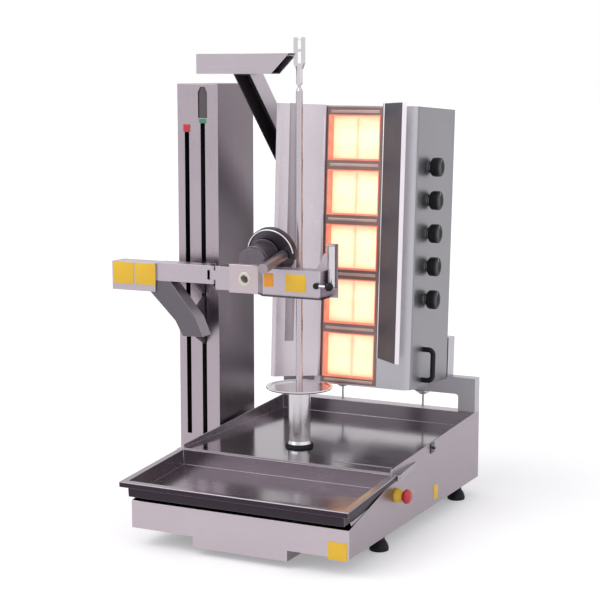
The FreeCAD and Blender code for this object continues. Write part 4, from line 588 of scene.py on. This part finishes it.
def plate(name, body, material, middle, across, along, thick, rim, slot="yellow_plastic"):
    """A thin plate with rounded corners: across and along are its half sides as vectors."""
    bm = bmesh.new()
    across, along = Vector(across), Vector(along)
    out = across.cross(along).normalized()
    sides = ((-1, -1), (1, -1), (1, 1), (-1, 1))
    corners = [bm.verts.new(Vector(middle) + side * across + end * along) for side, end in sides]
    face = bm.faces.new(corners)
    bmesh.ops.bevel(bm, geom=face.verts[:], offset=rim, offset_type="OFFSET", segments=4, profile=0.5,
                    affect="VERTICES", material=-1)
    top = bmesh.ops.extrude_face_region(bm, geom=bm.faces[:])["geom"]
    bmesh.ops.translate(bm, verts=only(bmesh.types.BMVert, top), vec=out * thick)
    bmesh.ops.recalc_face_normals(bm, faces=bm.faces[:])
    bend_edges(bm, thick * 0.35, 2, math.radians(60))
    return close_mesh(bm, name, body, material)


# Pieces

class GRILL_OT_stage(bpy.types.Operator):
    """Floor, studio light and the camera"""
    bl_idname = "grill.stage"
    bl_label = "Stage"

    def execute(self, context):
        look = settings("grill_stage")
        scene = context.scene
        scene.view_settings.view_transform = "Standard"
        camera = bpy.data.cameras.new("Camera")
        camera.lens = look.lens
        camera.sensor_width = 36
        camera.clip_end = 100
        eye = bpy.data.objects.new("Camera", camera)
        eye.location = look.camera_place
        eye.rotation_euler = (math.pi / 2 - look.camera_dip, 0, look.camera_turn)
        scene.collection.objects.link(eye)
        scene.camera = eye
        self.make_floor(scene, look)
        self.make_sky(scene, look)
        self.make_lamp(scene, "Key", look.key, (-2.6, -3.4, 4.2), 55, (1, 0.99, 1))
        self.make_lamp(scene, "Fill", look.fill, (4.0, -1.0, 2.6), 70, (0.99, 0.99, 1))
        return {"FINISHED"}

    def make_floor(self, scene, look):
        bm = bmesh.new()
        bmesh.ops.create_grid(bm, x_segments=1, y_segments=1, size=60)
        mesh = bpy.data.meshes.new("Floor")
        bm.to_mesh(mesh)
        bm.free()
        floor = bpy.data.objects.new("Floor", mesh)
        scene.collection.objects.link(floor)
        material, tree, shader = new_material("Floor")
        shader.inputs["Base Color"].default_value = (*look.floor, 1)
        shader.inputs["Roughness"].default_value = 0.9
        shader.inputs["Specular IOR Level"].default_value = 0
        lift = add(tree, "ShaderNodeEmission")
        path = add(tree, "ShaderNodeLightPath")
        seen = math_node(tree, "MAXIMUM", path.outputs["Is Camera Ray"], path.outputs["Is Glossy Ray"])
        tree.links.new(math_node(tree, "MULTIPLY", seen, look.floor_lift), lift.inputs["Strength"])
        both = add(tree, "ShaderNodeAddShader")
        tree.links.new(shader.outputs[0], both.inputs[0])
        tree.links.new(lift.outputs[0], both.inputs[1])
        tree.links.new(both.outputs[0], tree.nodes["Material Output"].inputs["Surface"])
        mesh.materials.append(material)

    def make_sky(self, scene, look):
        world = bpy.data.worlds.new("Studio")
        scene.world = world
        world.use_nodes = True
        tree = world.node_tree
        tree.nodes.clear()
        path = add(tree, "ShaderNodeLightPath")
        seen = math_node(tree, "MAXIMUM", path.outputs["Is Camera Ray"], path.outputs["Is Glossy Ray"])
        seen = math_node(tree, "MAXIMUM", seen, path.outputs["Is Transmission Ray"])
        strength = math_node(tree, "ADD", look.sky, math_node(tree, "MULTIPLY", seen, 1 - look.sky))
        glow = add(tree, "ShaderNodeBackground")
        tree.links.new(strength, glow.inputs["Strength"])
        glow.inputs["Color"].default_value = (1, 1, 1, 1)
        out = add(tree, "ShaderNodeOutputWorld")
        tree.links.new(glow.outputs[0], out.inputs["Surface"])

    def make_lamp(self, scene, name, strength, place, spread, colour):
        lamp = bpy.data.lights.new(name, "SUN")
        lamp.energy = strength
        lamp.angle = math.radians(spread)
        lamp.color = colour
        holder = bpy.data.objects.new(name, lamp)
        holder.location = place
        holder.rotation_euler = Vector(place).to_track_quat("Z", "Y").to_euler()
        scene.collection.objects.link(holder)


class GRILL_OT_base(bpy.types.Operator):
    """Base box, rear bridge, feet and small fittings"""
    bl_idname = "grill.base"
    bl_label = "Base"

    def execute(self, context):
        inside = within("base_body", 0.0025)
        dress("base_body", [finish("base"), finish("base_side"), finish("shade")], FINE_FOLD,
              paint=by_rule(facing(RIGHT), lambda face: inside(face) and face.normal.z < 0.5))
        dress("rear_bridge", finish("box"))
        dress("tray_guides", finish("tray"), FINE_FOLD)
        dress("column_mount", finish("base"), FINE_FOLD)
        coat(finish("turned"), "bridge_tie_rods")
        coat(finish("dark_steel"), "side_latch")
        self.make_feet()
        self.make_stop_button()
        self.make_plates()
        return {"FINISHED"}

    def make_plates(self):
        """The bare yellow plates on the front and on the right side."""
        low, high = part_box("base_body")
        from_right, rise, half_wide, half_high, side_half_wide, side_half_high = 34, 50, 28, 24.5, 17.5, 21.5
        front = Vector((high.x, low.y, low.z)) + Vector((-from_right, 0, rise)) / 1000
        side = deck_place(0, 610, 38)
        thick, rim = settings("grill_trim").plate, 0.002
        plate("front_plate", "frame", finish("yellow"), front, (half_wide / 1000, 0, 0),
              (0, 0, half_high / 1000), thick, rim)
        plate("side_plate", "frame", finish("yellow"), side, (0, side_half_wide / 1000, 0),
              (0, 0, side_half_high / 1000), thick, rim)

    def make_stop_button(self):
        """The emergency stop: a coned yellow collar and a domed red button that travels in it."""
        wide, edge, cone, hole = 0.0205, 0.006, 0.0065, 0.0118
        stem, cap, dome = 0.0105, 0.019, 0.005
        low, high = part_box("estop_collar")
        place = Vector((low.x, (low.y + high.y) / 2, (low.z + high.z) / 2))
        deep = high.x - low.x
        bm = bmesh.new()
        lathe(bm, [(hole, 0), (wide, 0), (wide, edge), (wide - 0.001, edge + 0.0015),
                   (wide - 0.005, deep - 0.002), (wide - cone, deep), (hole, deep), (hole, 0)],
              place, RIGHT, steps=56)
        stand_in(bm, "estop_collar", finish("yellow"))
        low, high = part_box("estop_button")
        reach = high.x - low.x
        back = reach - cap
        bm = bmesh.new()
        lathe(bm, [(0, 0), (stem, 0), (stem, back), (wide - 0.002, back), (wide, back + 0.002),
                   (wide, back + 0.009), (wide - 0.003, reach - dome), (wide * 0.6, reach - 0.0012),
                   (wide * 0.3, reach - 0.0002), (0, reach)], (low.x, place.y, place.z), RIGHT, steps=56)
        stand_in(bm, "estop_button", finish("red"), math.radians(45))

    def make_feet(self):
        """Four moulded feet, each a flared disc under a waisted neck."""
        low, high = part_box("rubber_feet")
        wide, tall, edge = 0.0275, high.z, 0.002
        rim, shoulder, neck = 0.009, 0.02, 0.016
        shape = [(0, 0), (wide - edge, 0), (wide, edge), (wide, rim), (wide * 0.86, shoulder),
                 (neck * 1.2, shoulder * 1.35), (neck, shoulder * 1.6), (neck, tall), (0, tall)]
        bm = bmesh.new()
        for across in (low.x + wide, high.x - wide):
            for deep in (low.y + wide, high.y - wide):
                lathe(bm, shape, (across, deep, 0))
        stand_in(bm, "rubber_feet", finish("rubber"))


class GRILL_OT_deck(bpy.types.Operator):
    """Sunk deck pan with its insert and the seal ring"""
    bl_idname = "grill.deck"
    bl_label = "Deck"

    def execute(self, context):
        low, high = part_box("deck_pan")
        middle = (low.y + high.y) / 2
        front = facing(FRONT)

        def front_wall(face):
            return front(face) and face.calc_center_median().y < middle
        # The faces that face right get a painted highlight in the column-front colour, and the front wall a
        # painted highlight in the apron colour.
        dress("deck_pan", [finish("deck"), finish("deck_wall"), finish("apron")], FINE_FOLD,
              paint=by_rule(facing(RIGHT), front_wall))
        dress("deck_insert", finish("deck"), THIN_FOLD)
        coat(finish("rubber"), "floor_ring")
        return {"FINISHED"}


class GRILL_OT_tray(bpy.types.Operator):
    """Sliding meat tray"""
    bl_idname = "grill.tray"
    bl_label = "Tray"

    def execute(self, context):
        low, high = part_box("front_tray")
        lip = 0.0045
        centre = (low + high) / 2

        def outer_wall(face):
            middle = face.calc_center_median()
            rim = high.z - (high.y - middle.y) * math.tan(TRAY_SLOPE)
            away = middle - centre
            outward = away.x * face.normal.x + away.y * face.normal.y > 0
            return outward and abs(face.normal.z) < 0.6 and middle.z < rim - lip
        dress("front_tray", [finish("tray"), finish("tray_wall")], FINE_FOLD, paint=by_rule(outer_wall))
        return {"FINISHED"}


class GRILL_OT_column(bpy.types.Operator):
    """Column with its cap, stops and the mast behind"""
    bl_idname = "grill.column"
    bl_label = "Column"

    def execute(self, context):
        # The insides of the column and the mast get painted shade; the front faces of the column and its cap get a
        # painted highlight.
        sheets = [finish("column"), finish("inside_shade"), finish("column_strip")]
        front = facing(FRONT)
        dress("column_shell", sheets, SHEET_FOLD, paint=by_rule(within("column_shell"), front))
        dress("column_cap", [finish("column"), finish("column_strip")], SHEET_FOLD, paint=by_rule(front))
        dress("rear_mast", [finish("column"), finish("inside_shade")], paint=by_rule(within("rear_mast", 0.0035)))
        self.make_channels()
        self.make_stops()
        coat(finish("turned"), "top_bearing")
        coat(finish("inside_shade"), "guide_rods")
        coat(finish("cast"), "lift_motor")
        coat(finish("rubber"), "lift_belt")
        coat(finish("bright"), "upper_pulley", "lower_pulley")
        coat(finish("shade"), "carriage_block")
        return {"FINISHED"}

    def make_stops(self):
        """The red and the green slot stop, and a dark plate of painted shade over the top of the right slot."""
        low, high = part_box("slot_stops")
        cad_half, half, height, over, rounding = 0.01, 0.0125, 0.012, 0.003, 0.002
        red_x, green_x = low.x + cad_half, high.x - cad_half
        bm = bmesh.new()
        box_of(bm, (red_x - half, low.y, low.z), (red_x + half, high.y, low.z + 2 * height))
        red = set(bm.faces)
        box_of(bm, (green_x - half, low.y, high.z - height), (green_x + half, high.y, high.z + over))
        for face in bm.faces:
            face.material_index = 0 if face in red else 1
        bend_edges(bm, rounding, 3)
        stand_in(bm, "slot_stops", [finish("red"), finish("green")])
        behind, half_wide, half_high, up = 0.0045, 0.019, 0.052, 0.054
        place = (green_x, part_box("column_shell")[0].y + behind, high.z + up)
        plate("slot_shade_plate", "frame", finish("window"), place, (half_wide, 0, 0), (0, 0, half_high), 0.001,
              0.008, "dark_metal")

    def make_channels(self):
        """The diagonal brace with painted shade between its flanges, and the bracket with painted shade on its
        open end.
        """
        low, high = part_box("diagonal_brace")
        wall = 0.0032

        def between(face):
            across = face.calc_center_median().x
            floor = low.x + wall < across < high.x - wall and face.normal.z < 0.9
            flange = abs(face.normal.x) > 0.9 and low.x + wall / 2 < across < high.x - wall / 2
            return floor or flange
        dress("diagonal_brace", [finish("arm"), finish("inside_shade")], paint=by_rule(between))
        dress("top_bracket", [finish("arm"), finish("inside_shade")], paint=by_rule(facing(RIGHT, 0.3)))


class GRILL_OT_spit(bpy.types.Operator):
    """Drive post, meat disc and spit rod, with the drive below"""
    bl_idname = "grill.spit"
    bl_label = "Spit"

    def execute(self, context):
        coat(finish("turned"), "drive_post", "meat_disc")
        coat(finish("rod"), "spit_rod")
        coat(finish("dark_steel"), "drive_gear", "motor_pinion")
        coat(finish("cast"), "spit_gearmotor")
        return {"FINISHED"}


class GRILL_OT_arm(bpy.types.Operator):
    """Cutting arm with its end box, brace and blank plates"""
    bl_idname = "grill.arm"
    bl_label = "Arm"

    def execute(self, context):
        dress("cross_arm", finish("arm"))
        dress("arm_strut", [finish("arm"), finish("shade")], paint=by_rule(facing(FRONT)))
        coat(finish("dark_steel"), "swing_pin")
        low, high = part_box("cross_arm")
        wide, tall, gap, rim = 0.074, 0.066, 0.004, 0.004
        for index in range(2):
            middle = (low.x + gap + wide / 2 + index * (wide + gap), low.y, high.z - gap - tall / 2)
            plate(f"arm_plate_{index + 1}", "carriage", finish("yellow"), middle, (wide / 2, 0, 0),
                  (0, 0, tall / 2), settings("grill_trim").plate, rim)
        return {"FINISHED"}


class GRILL_OT_cutter(bpy.types.Operator):
    """Cutting head with its gearbox, motor, blade guard, lever and blank plates"""
    bl_idname = "grill.cutter"
    bl_label = "Cutter"

    def execute(self, context):
        dress("head_carrier", finish("arm"), SHEET_FOLD)
        self.make_gearbox()
        dress("head_housing", finish("arm"), FINE_FOLD)
        dress("roller_plate", finish("arm"), THIN_FOLD)
        coat(finish("dark_steel"), "head_sole", "blade_guard")
        coat(finish("grip"), "grip_bar")
        coat(finish("blade"), "round_blade")
        coat(finish("turned"), "guide_roller")
        self.make_guard_rim()
        self.make_motor()
        self.make_lever()
        self.make_plates()
        return {"FINISHED"}

    def make_gearbox(self):
        """The gearbox block with its dark oval bolt, and a light washer round it."""
        low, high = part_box("head_gearbox")
        bolt_high = 0.0055
        dress("head_gearbox", [finish("gearbox"), finish("dark_steel")], 0.0012, 3,
              paint=by_rule(lambda face: face.calc_center_median().y < low.y + bolt_high))
        inset, rise, back = 0.048, 0.043, 0.006
        hole, wide, edge, thick = 0.0125, 0.0205, 0.001, 0.0012
        bm = bmesh.new()
        lathe(bm, [(hole, 0), (hole, thick), (wide - edge, thick), (wide, thick / 2), (wide, 0), (hole, 0)],
              (high.x - inset, low.y + back, low.z + rise), FRONT, steps=40)
        close_mesh(bm, "bolt_ring", "head", finish("washer"))

    def make_lever(self):
        """The thickness lever: a black hub and ball on a bright rod."""
        pivot = Vector(JOINT["lever_turn"]["pos_m"])
        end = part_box("thickness_lever")[1].x
        ball, hub = 0.027, 0.0105

        def on_rod(face):
            return pivot.x + hub < face.calc_center_median().x < end - ball
        dress("thickness_lever", [finish("plastic"), finish("hem")], 0, paint=by_rule(on_rod))

    def make_plates(self):
        """The bare yellow plate on the housing, and the narrow orange one beside it."""
        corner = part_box("head_housing")[0]
        thick, rim = settings("grill_trim").plate, 0.003
        rows = (("housing_plate", "yellow", (0.14, 0, 0.038), 0.0325, 0.0255),
                ("warm_plate", "orange", (0.0525, 0, 0.043), 0.0155, 0.02))
        for name, colour, place, half_wide, half_high in rows:
            plate(name, "head", finish(colour), corner + Vector(place), (half_wide, 0, 0), (0, 0, half_high),
                  thick, rim)

    def make_guard_rim(self):
        """A thin rolled rim along the front edge of the blade guard, made bright as a painted highlight."""
        joint = JOINT["blade_spin"]
        place, way = Vector(joint["pos_m"]), Vector(joint["axis"])
        middle, thick, ahead = 0.0735, 0.0022, 0.0152
        sweep, first = math.radians(170), math.radians(5)
        stand = Matrix.Translation((middle, 0, 0)) @ Matrix.Rotation(math.pi / 2, 4, "X")
        bm = bmesh.new()
        ring = bmesh.ops.create_circle(bm, segments=12, radius=thick, matrix=stand)["verts"]
        edges = list({edge for vert in ring for edge in vert.link_edges})
        end = bmesh.ops.spin(bm, geom=ring + edges, cent=(0, 0, 0), axis=(0, 0, 1), angle=sweep, steps=48)
        for loop in (edges, only(bmesh.types.BMEdge, end["geom_last"])):
            bmesh.ops.contextual_create(bm, geom=loop)
        bmesh.ops.recalc_face_normals(bm, faces=bm.faces[:])
        rise = RIGHT.cross(way)
        turn = Matrix((RIGHT, rise, RIGHT.cross(rise))).transposed().to_4x4()
        turn = Matrix.Translation(place - way * ahead) @ turn @ Matrix.Rotation(first, 4, "Z")
        bmesh.ops.transform(bm, matrix=turn, verts=bm.verts[:])
        bmesh.ops.recalc_face_normals(bm, faces=bm.faces[:])
        close_mesh(bm, "guard_rim", "head", finish("hem"))

    def make_motor(self):
        """The motor as a broad dark drum beside the spindle, cut level over the housing."""
        joint = JOINT["blade_spin"]
        to_left, above = 0.019, 0.0045
        place, way = Vector(joint["pos_m"]) - RIGHT * to_left, Vector(joint["axis"])
        wide, long, back, edge = 0.044, 0.1, 0.0155, 0.006
        flange, groove = wide + 0.003, wide - 0.0012
        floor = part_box("head_housing")[1].z + above
        bm = bmesh.new()
        lathe(bm, [(0, back), (flange, back), (flange, back + 0.003), (wide, back + 0.0035),
                   (wide, long - 0.022), (groove, long - 0.021), (groove, long - 0.018), (wide, long - 0.017),
                   (wide, long - edge), (wide - 0.002, long - 0.002), (wide - edge, long),
                   (wide * 0.5, long + 0.0005), (0, long + 0.001)], place, -way, steps=72)
        cut = bmesh.ops.bisect_plane(bm, geom=bm.verts[:] + bm.edges[:] + bm.faces[:], dist=WELD,
                                     plane_co=(0, 0, floor), plane_no=(0, 0, 1), clear_inner=True)
        bmesh.ops.contextual_create(bm, geom=only(bmesh.types.BMEdge, cut["geom_cut"]))
        bmesh.ops.recalc_face_normals(bm, faces=bm.faces[:])
        stand_in(bm, "blade_motor", finish("motor"))


class GRILL_OT_burner(bpy.types.Operator):
    """Leaning burner unit with its tiles, control box and handle"""
    bl_idname = "grill.burner"
    bl_label = "Burner"

    def execute(self, context):
        dress("burner_housing", [finish("box"), finish("panel")], paint=by_rule(facing(RIGHT, 0.9)))
        coat(finish("dark_steel"), "burner_plenums")
        coat(finish("brass"), "gas_manifold")
        self.make_frame()
        self.make_tiles()
        self.make_reveals()
        self.make_handle()
        dress("carry_brackets", finish("box"), SHEET_FOLD)
        self.make_wings()
        for index in range(5):
            self.make_knob(f"gas_knob_{index + 1}")
        return {"FINISHED"}

    def make_frame(self):
        """The frame round the tiles, scorched outside, with painted glow on its faces in the openings."""
        low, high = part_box("burner_frame")
        rim = 0.008

        def beside_tile(face):
            inward = low.x + rim < face.calc_center_median().x < high.x - rim
            return inward and (abs(face.normal.x) > 0.8 or abs(face.normal.dot(UP)) > 0.8)
        dress("burner_frame", [finish("scorched"), finish("reveal")], FINE_FOLD, paint=by_rule(beside_tile))

    def make_wings(self):
        """Both wings; the left one with a strip of painted reflection of the spit rod along its inner face, the
        right one painted by side.
        """
        dress("left_wing", finish("wing"), THIN_FOLD)
        hinge = Vector(JOINT["left_wing_turn"]["pos_m"])
        along, inner = (RIGHT - OUT).normalized(), (RIGHT + OUT).normalized()
        from_hinge, strip_low, strip_high, half_wide, wing_half = 0.0975, 0.108, 0.822, 0.014, 0.0021
        half_long = UP * (strip_high - strip_low) / 2
        middle = hinge - along * from_hinge + UP * (strip_low + strip_high) / 2 + inner * wing_half
        plate("rod_reflection", "wing_l", finish("strip"), middle, along * half_wide, half_long, 0.0005, 0.001,
              "unit_steel")
        # Painted light: the right wing's inner face gets the painted shade of wing_back, and its other faces the
        # hem colour as a painted highlight.
        right_faces = by_rule(facing(-RIGHT, 0.2))
        dress("right_wing", [finish("hem"), finish("wing_back")], THIN_FOLD, paint=right_faces)

    def make_handle(self):
        """The black D handle: one round bar, with two bends, that stands out from the control box."""
        low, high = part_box("pull_handle")
        half, bend = 0.0078, 0.015
        straight = (high.z - low.z) / math.cos(LEAN) - 2 * half - 2 * bend
        middle = (low + high) / 2
        start = Vector((low.x, middle.y, middle.z)) - UP * (straight / 2 + bend)
        across = UP.cross(RIGHT)
        away = RIGHT * (high.x - low.x - half - bend)
        stand = Matrix.Translation(start) @ Matrix((UP, across, RIGHT)).transposed().to_4x4()
        bm = bmesh.new()
        ring = bmesh.ops.create_circle(bm, segments=20, radius=half, matrix=stand)["verts"]
        foot = list({edge for vert in ring for edge in vert.link_edges})

        def run(edges, way):
            made = bmesh.ops.extrude_edge_only(bm, edges=edges)["geom"]
            verts, edges = only(bmesh.types.BMVert, made), only(bmesh.types.BMEdge, made)
            bmesh.ops.translate(bm, verts=verts, vec=way)
            return [edge for edge in edges if all(vert in verts for vert in edge.verts)]

        def elbow(edges, centre):
            ends = edges + list({vert for edge in edges for vert in edge.verts})
            made = bmesh.ops.spin(bm, geom=ends, cent=centre, axis=across, angle=-math.pi / 2, steps=8)
            return only(bmesh.types.BMEdge, made["geom_last"])
        edges = run(foot, away)
        edges = elbow(edges, start + away + UP * bend)
        edges = run(edges, UP * straight)
        edges = elbow(edges, start + away + UP * (bend + straight))
        edges = run(edges, -away)
        for loop in (foot, edges):
            bmesh.ops.contextual_create(bm, geom=loop)
        bmesh.ops.recalc_face_normals(bm, faces=bm.faces[:])
        stand_in(bm, "pull_handle", finish("plastic"), math.radians(40))

    def make_knob(self, node):
        """A round gas knob: steel backplate and neck, and a black domed cap with a pointer."""
        low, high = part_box(node)
        middle = (low + high) / 2
        wide = (high.z - low.z) / 2
        face_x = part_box("burner_housing")[1].x
        reach, stem = high.x - face_x, low.x - face_x
        neck, cap, back, lift = 0.014, 0.009, 0.019, 0.0004
        end = cap + 0.001
        bm = bmesh.new()
        lathe(bm, [(0, stem), (0.004, stem), (0.004, 0), (back, 0), (back, 0.0015), (neck, 0.003),
                   (neck, end), (0, end)], (face_x + lift, middle.y, middle.z), RIGHT, steps=40)
        necks = set(bm.faces)
        lathe(bm, [(0, cap), (wide - 0.004, cap), (wide - 0.001, cap + 0.003), (wide, cap + 0.007),
                   (wide, reach - 0.0045), (wide - 0.0015, reach - 0.0018), (wide - 0.005, reach - 0.0004),
                   (wide * 0.55, reach - 0.0008), (wide * 0.5, reach - 0.0016), (0, reach - 0.002)],
              (face_x, middle.y, middle.z), RIGHT, steps=56)
        caps = set(bm.faces) - necks
        pointer_half = 0.0012
        box_of(bm, (face_x + reach - 0.006, middle.y - pointer_half, middle.z + wide * 0.55),
               (face_x + reach - lift, middle.y + pointer_half, middle.z + wide * 0.92))
        for face in bm.faces:
            face.material_index = 0 if face in caps else 1 if face in necks else 2
        stand_in(bm, node, [finish("plastic"), finish("box"), finish("mark")])

    def make_reveals(self):
        """A painted red glow round each burner opening, and a rib above and below each, pale as a painted
        highlight.
        """
        low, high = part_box("burner_frame")
        half, rise = (high.x - low.x) / 2 - WINDOW_SIDE, WINDOW_HIGH / 2
        # How far in from the opening's left, right, bottom and top; below 0 it is outside the opening.
        outer, inner = (-0.0065, -0.0032, -0.0045, -0.0035), (0.001, 0, 0.001, 0)
        thick = 0.0012
        boxes = [Vector(opening["box_m"][0]) for opening in frame["record"]["physics"]["openings"]
                 if opening["name"].startswith("burner_window")]
        centre = (low.x + high.x) / 2
        spots = [Vector((centre, box.y + WINDOW_BOX_BACK, box.z + WINDOW_BOX_DOWN)) for box in boxes]
        bm = bmesh.new()
        for spot in spots:
            rings = []
            for left, right, bottom, top in (outer, inner):
                corners = ((left - half, bottom - rise), (half - right, bottom - rise),
                           (half - right, rise - top), (left - half, rise - top))
                ring = [bm.verts.new(spot + RIGHT * across + UP * height) for across, height in corners]
                rings += [bm.edges.new((ring[turn - 1], ring[turn])) for turn in range(4)]
            bmesh.ops.bridge_loops(bm, edges=rings)
        made = bmesh.ops.extrude_face_region(bm, geom=bm.faces[:])["geom"]
        bmesh.ops.translate(bm, verts=only(bmesh.types.BMVert, made), vec=OUT * thick)
        bmesh.ops.recalc_face_normals(bm, faces=bm.faces[:])
        bend_edges(bm, THIN_FOLD, 1)
        close_mesh(bm, "window_reveals", "burner", finish("reveal"))
        pitch = (spots[1] - spots[0]).length
        rib_half, rib_rim, end_shift = 0.0042, 0.001, pitch * 0.028
        for index in range(len(spots) + 1):
            middle = spots[0] + UP * (pitch * (index - 0.5))
            if index in (0, len(spots)):
                middle -= UP * (end_shift if index else -end_shift)
            plate(f"frame_rib_{index + 1}", "burner", finish("rib"), middle, (half, 0, 0), UP * rib_half,
                  thick, rib_rim, "frame_steel")

    def make_tiles(self):
        """The tiles, each with its own face spread over a unit square for the glow."""
        bm = copied("ceramic_tiles")
        rounding = 0.0008
        bend_edges(bm, rounding)
        spread = bm.loops.layers.uv.new("face")
        seen = set()
        for start in bm.faces:
            if start in seen:
                continue
            tile, queue = set(), [start]
            while queue:
                face = queue.pop()
                if face in tile:
                    continue
                tile.add(face)
                queue += [other for edge in face.edges for other in edge.link_faces if other not in tile]
            seen |= tile
            points = [vert.co for face in tile for vert in face.verts]
            left, right = min(point.x for point in points), max(point.x for point in points)
            low, high = min(point.dot(UP) for point in points), max(point.dot(UP) for point in points)
            for loop in (loop for face in tile for loop in face.loops):
                point = loop.vert.co
                loop[spread].uv = ((point.x - left) / (right - left), (point.dot(UP) - low) / (high - low))
        stand_in(bm, "ceramic_tiles", finish("tile"))


OPERATORS = (GRILL_OT_stage, GRILL_OT_base, GRILL_OT_deck, GRILL_OT_tray, GRILL_OT_column, GRILL_OT_spit,
             GRILL_OT_arm, GRILL_OT_cutter, GRILL_OT_burner)
GROUPS = {"grill_stage": StageSettings, "grill_sheet": SheetSettings, "grill_head": HeadSettings,
          "grill_trim": TrimSettings, "grill_burner": BurnerSettings}


class GRILL_PT_panel(bpy.types.Panel):
    """Lists the settings and the pieces"""
    bl_idname = "GRILL_PT_panel"
    bl_label = "Grill"
    bl_space_type = "VIEW_3D"
    bl_region_type = "UI"
    bl_category = "Grill"

    def draw(self, context):
        for name, group in GROUPS.items():
            part = self.layout.box()
            for key in group.__annotations__:
                part.prop(getattr(context.scene, name), key)
        for operator in OPERATORS:
            self.layout.operator(operator.bl_idname)


def register():
    for group in GROUPS.values():
        bpy.utils.register_class(group)
    for name, group in GROUPS.items():
        setattr(bpy.types.Scene, name, PointerProperty(type=group))
    for operator in OPERATORS:
        bpy.utils.register_class(operator)
    bpy.utils.register_class(GRILL_PT_panel)


def unregister():
    bpy.utils.unregister_class(GRILL_PT_panel)
    for operator in reversed(OPERATORS):
        bpy.utils.unregister_class(operator)
    for name in GROUPS:
        delattr(bpy.types.Scene, name)
    for group in GROUPS.values():
        bpy.utils.unregister_class(group)


def main():
    register()
    for operator in OPERATORS:
        group, name = operator.bl_idname.split(".")
        getattr(getattr(bpy.ops, group), name)()


if __name__ == "__main__":
    main()
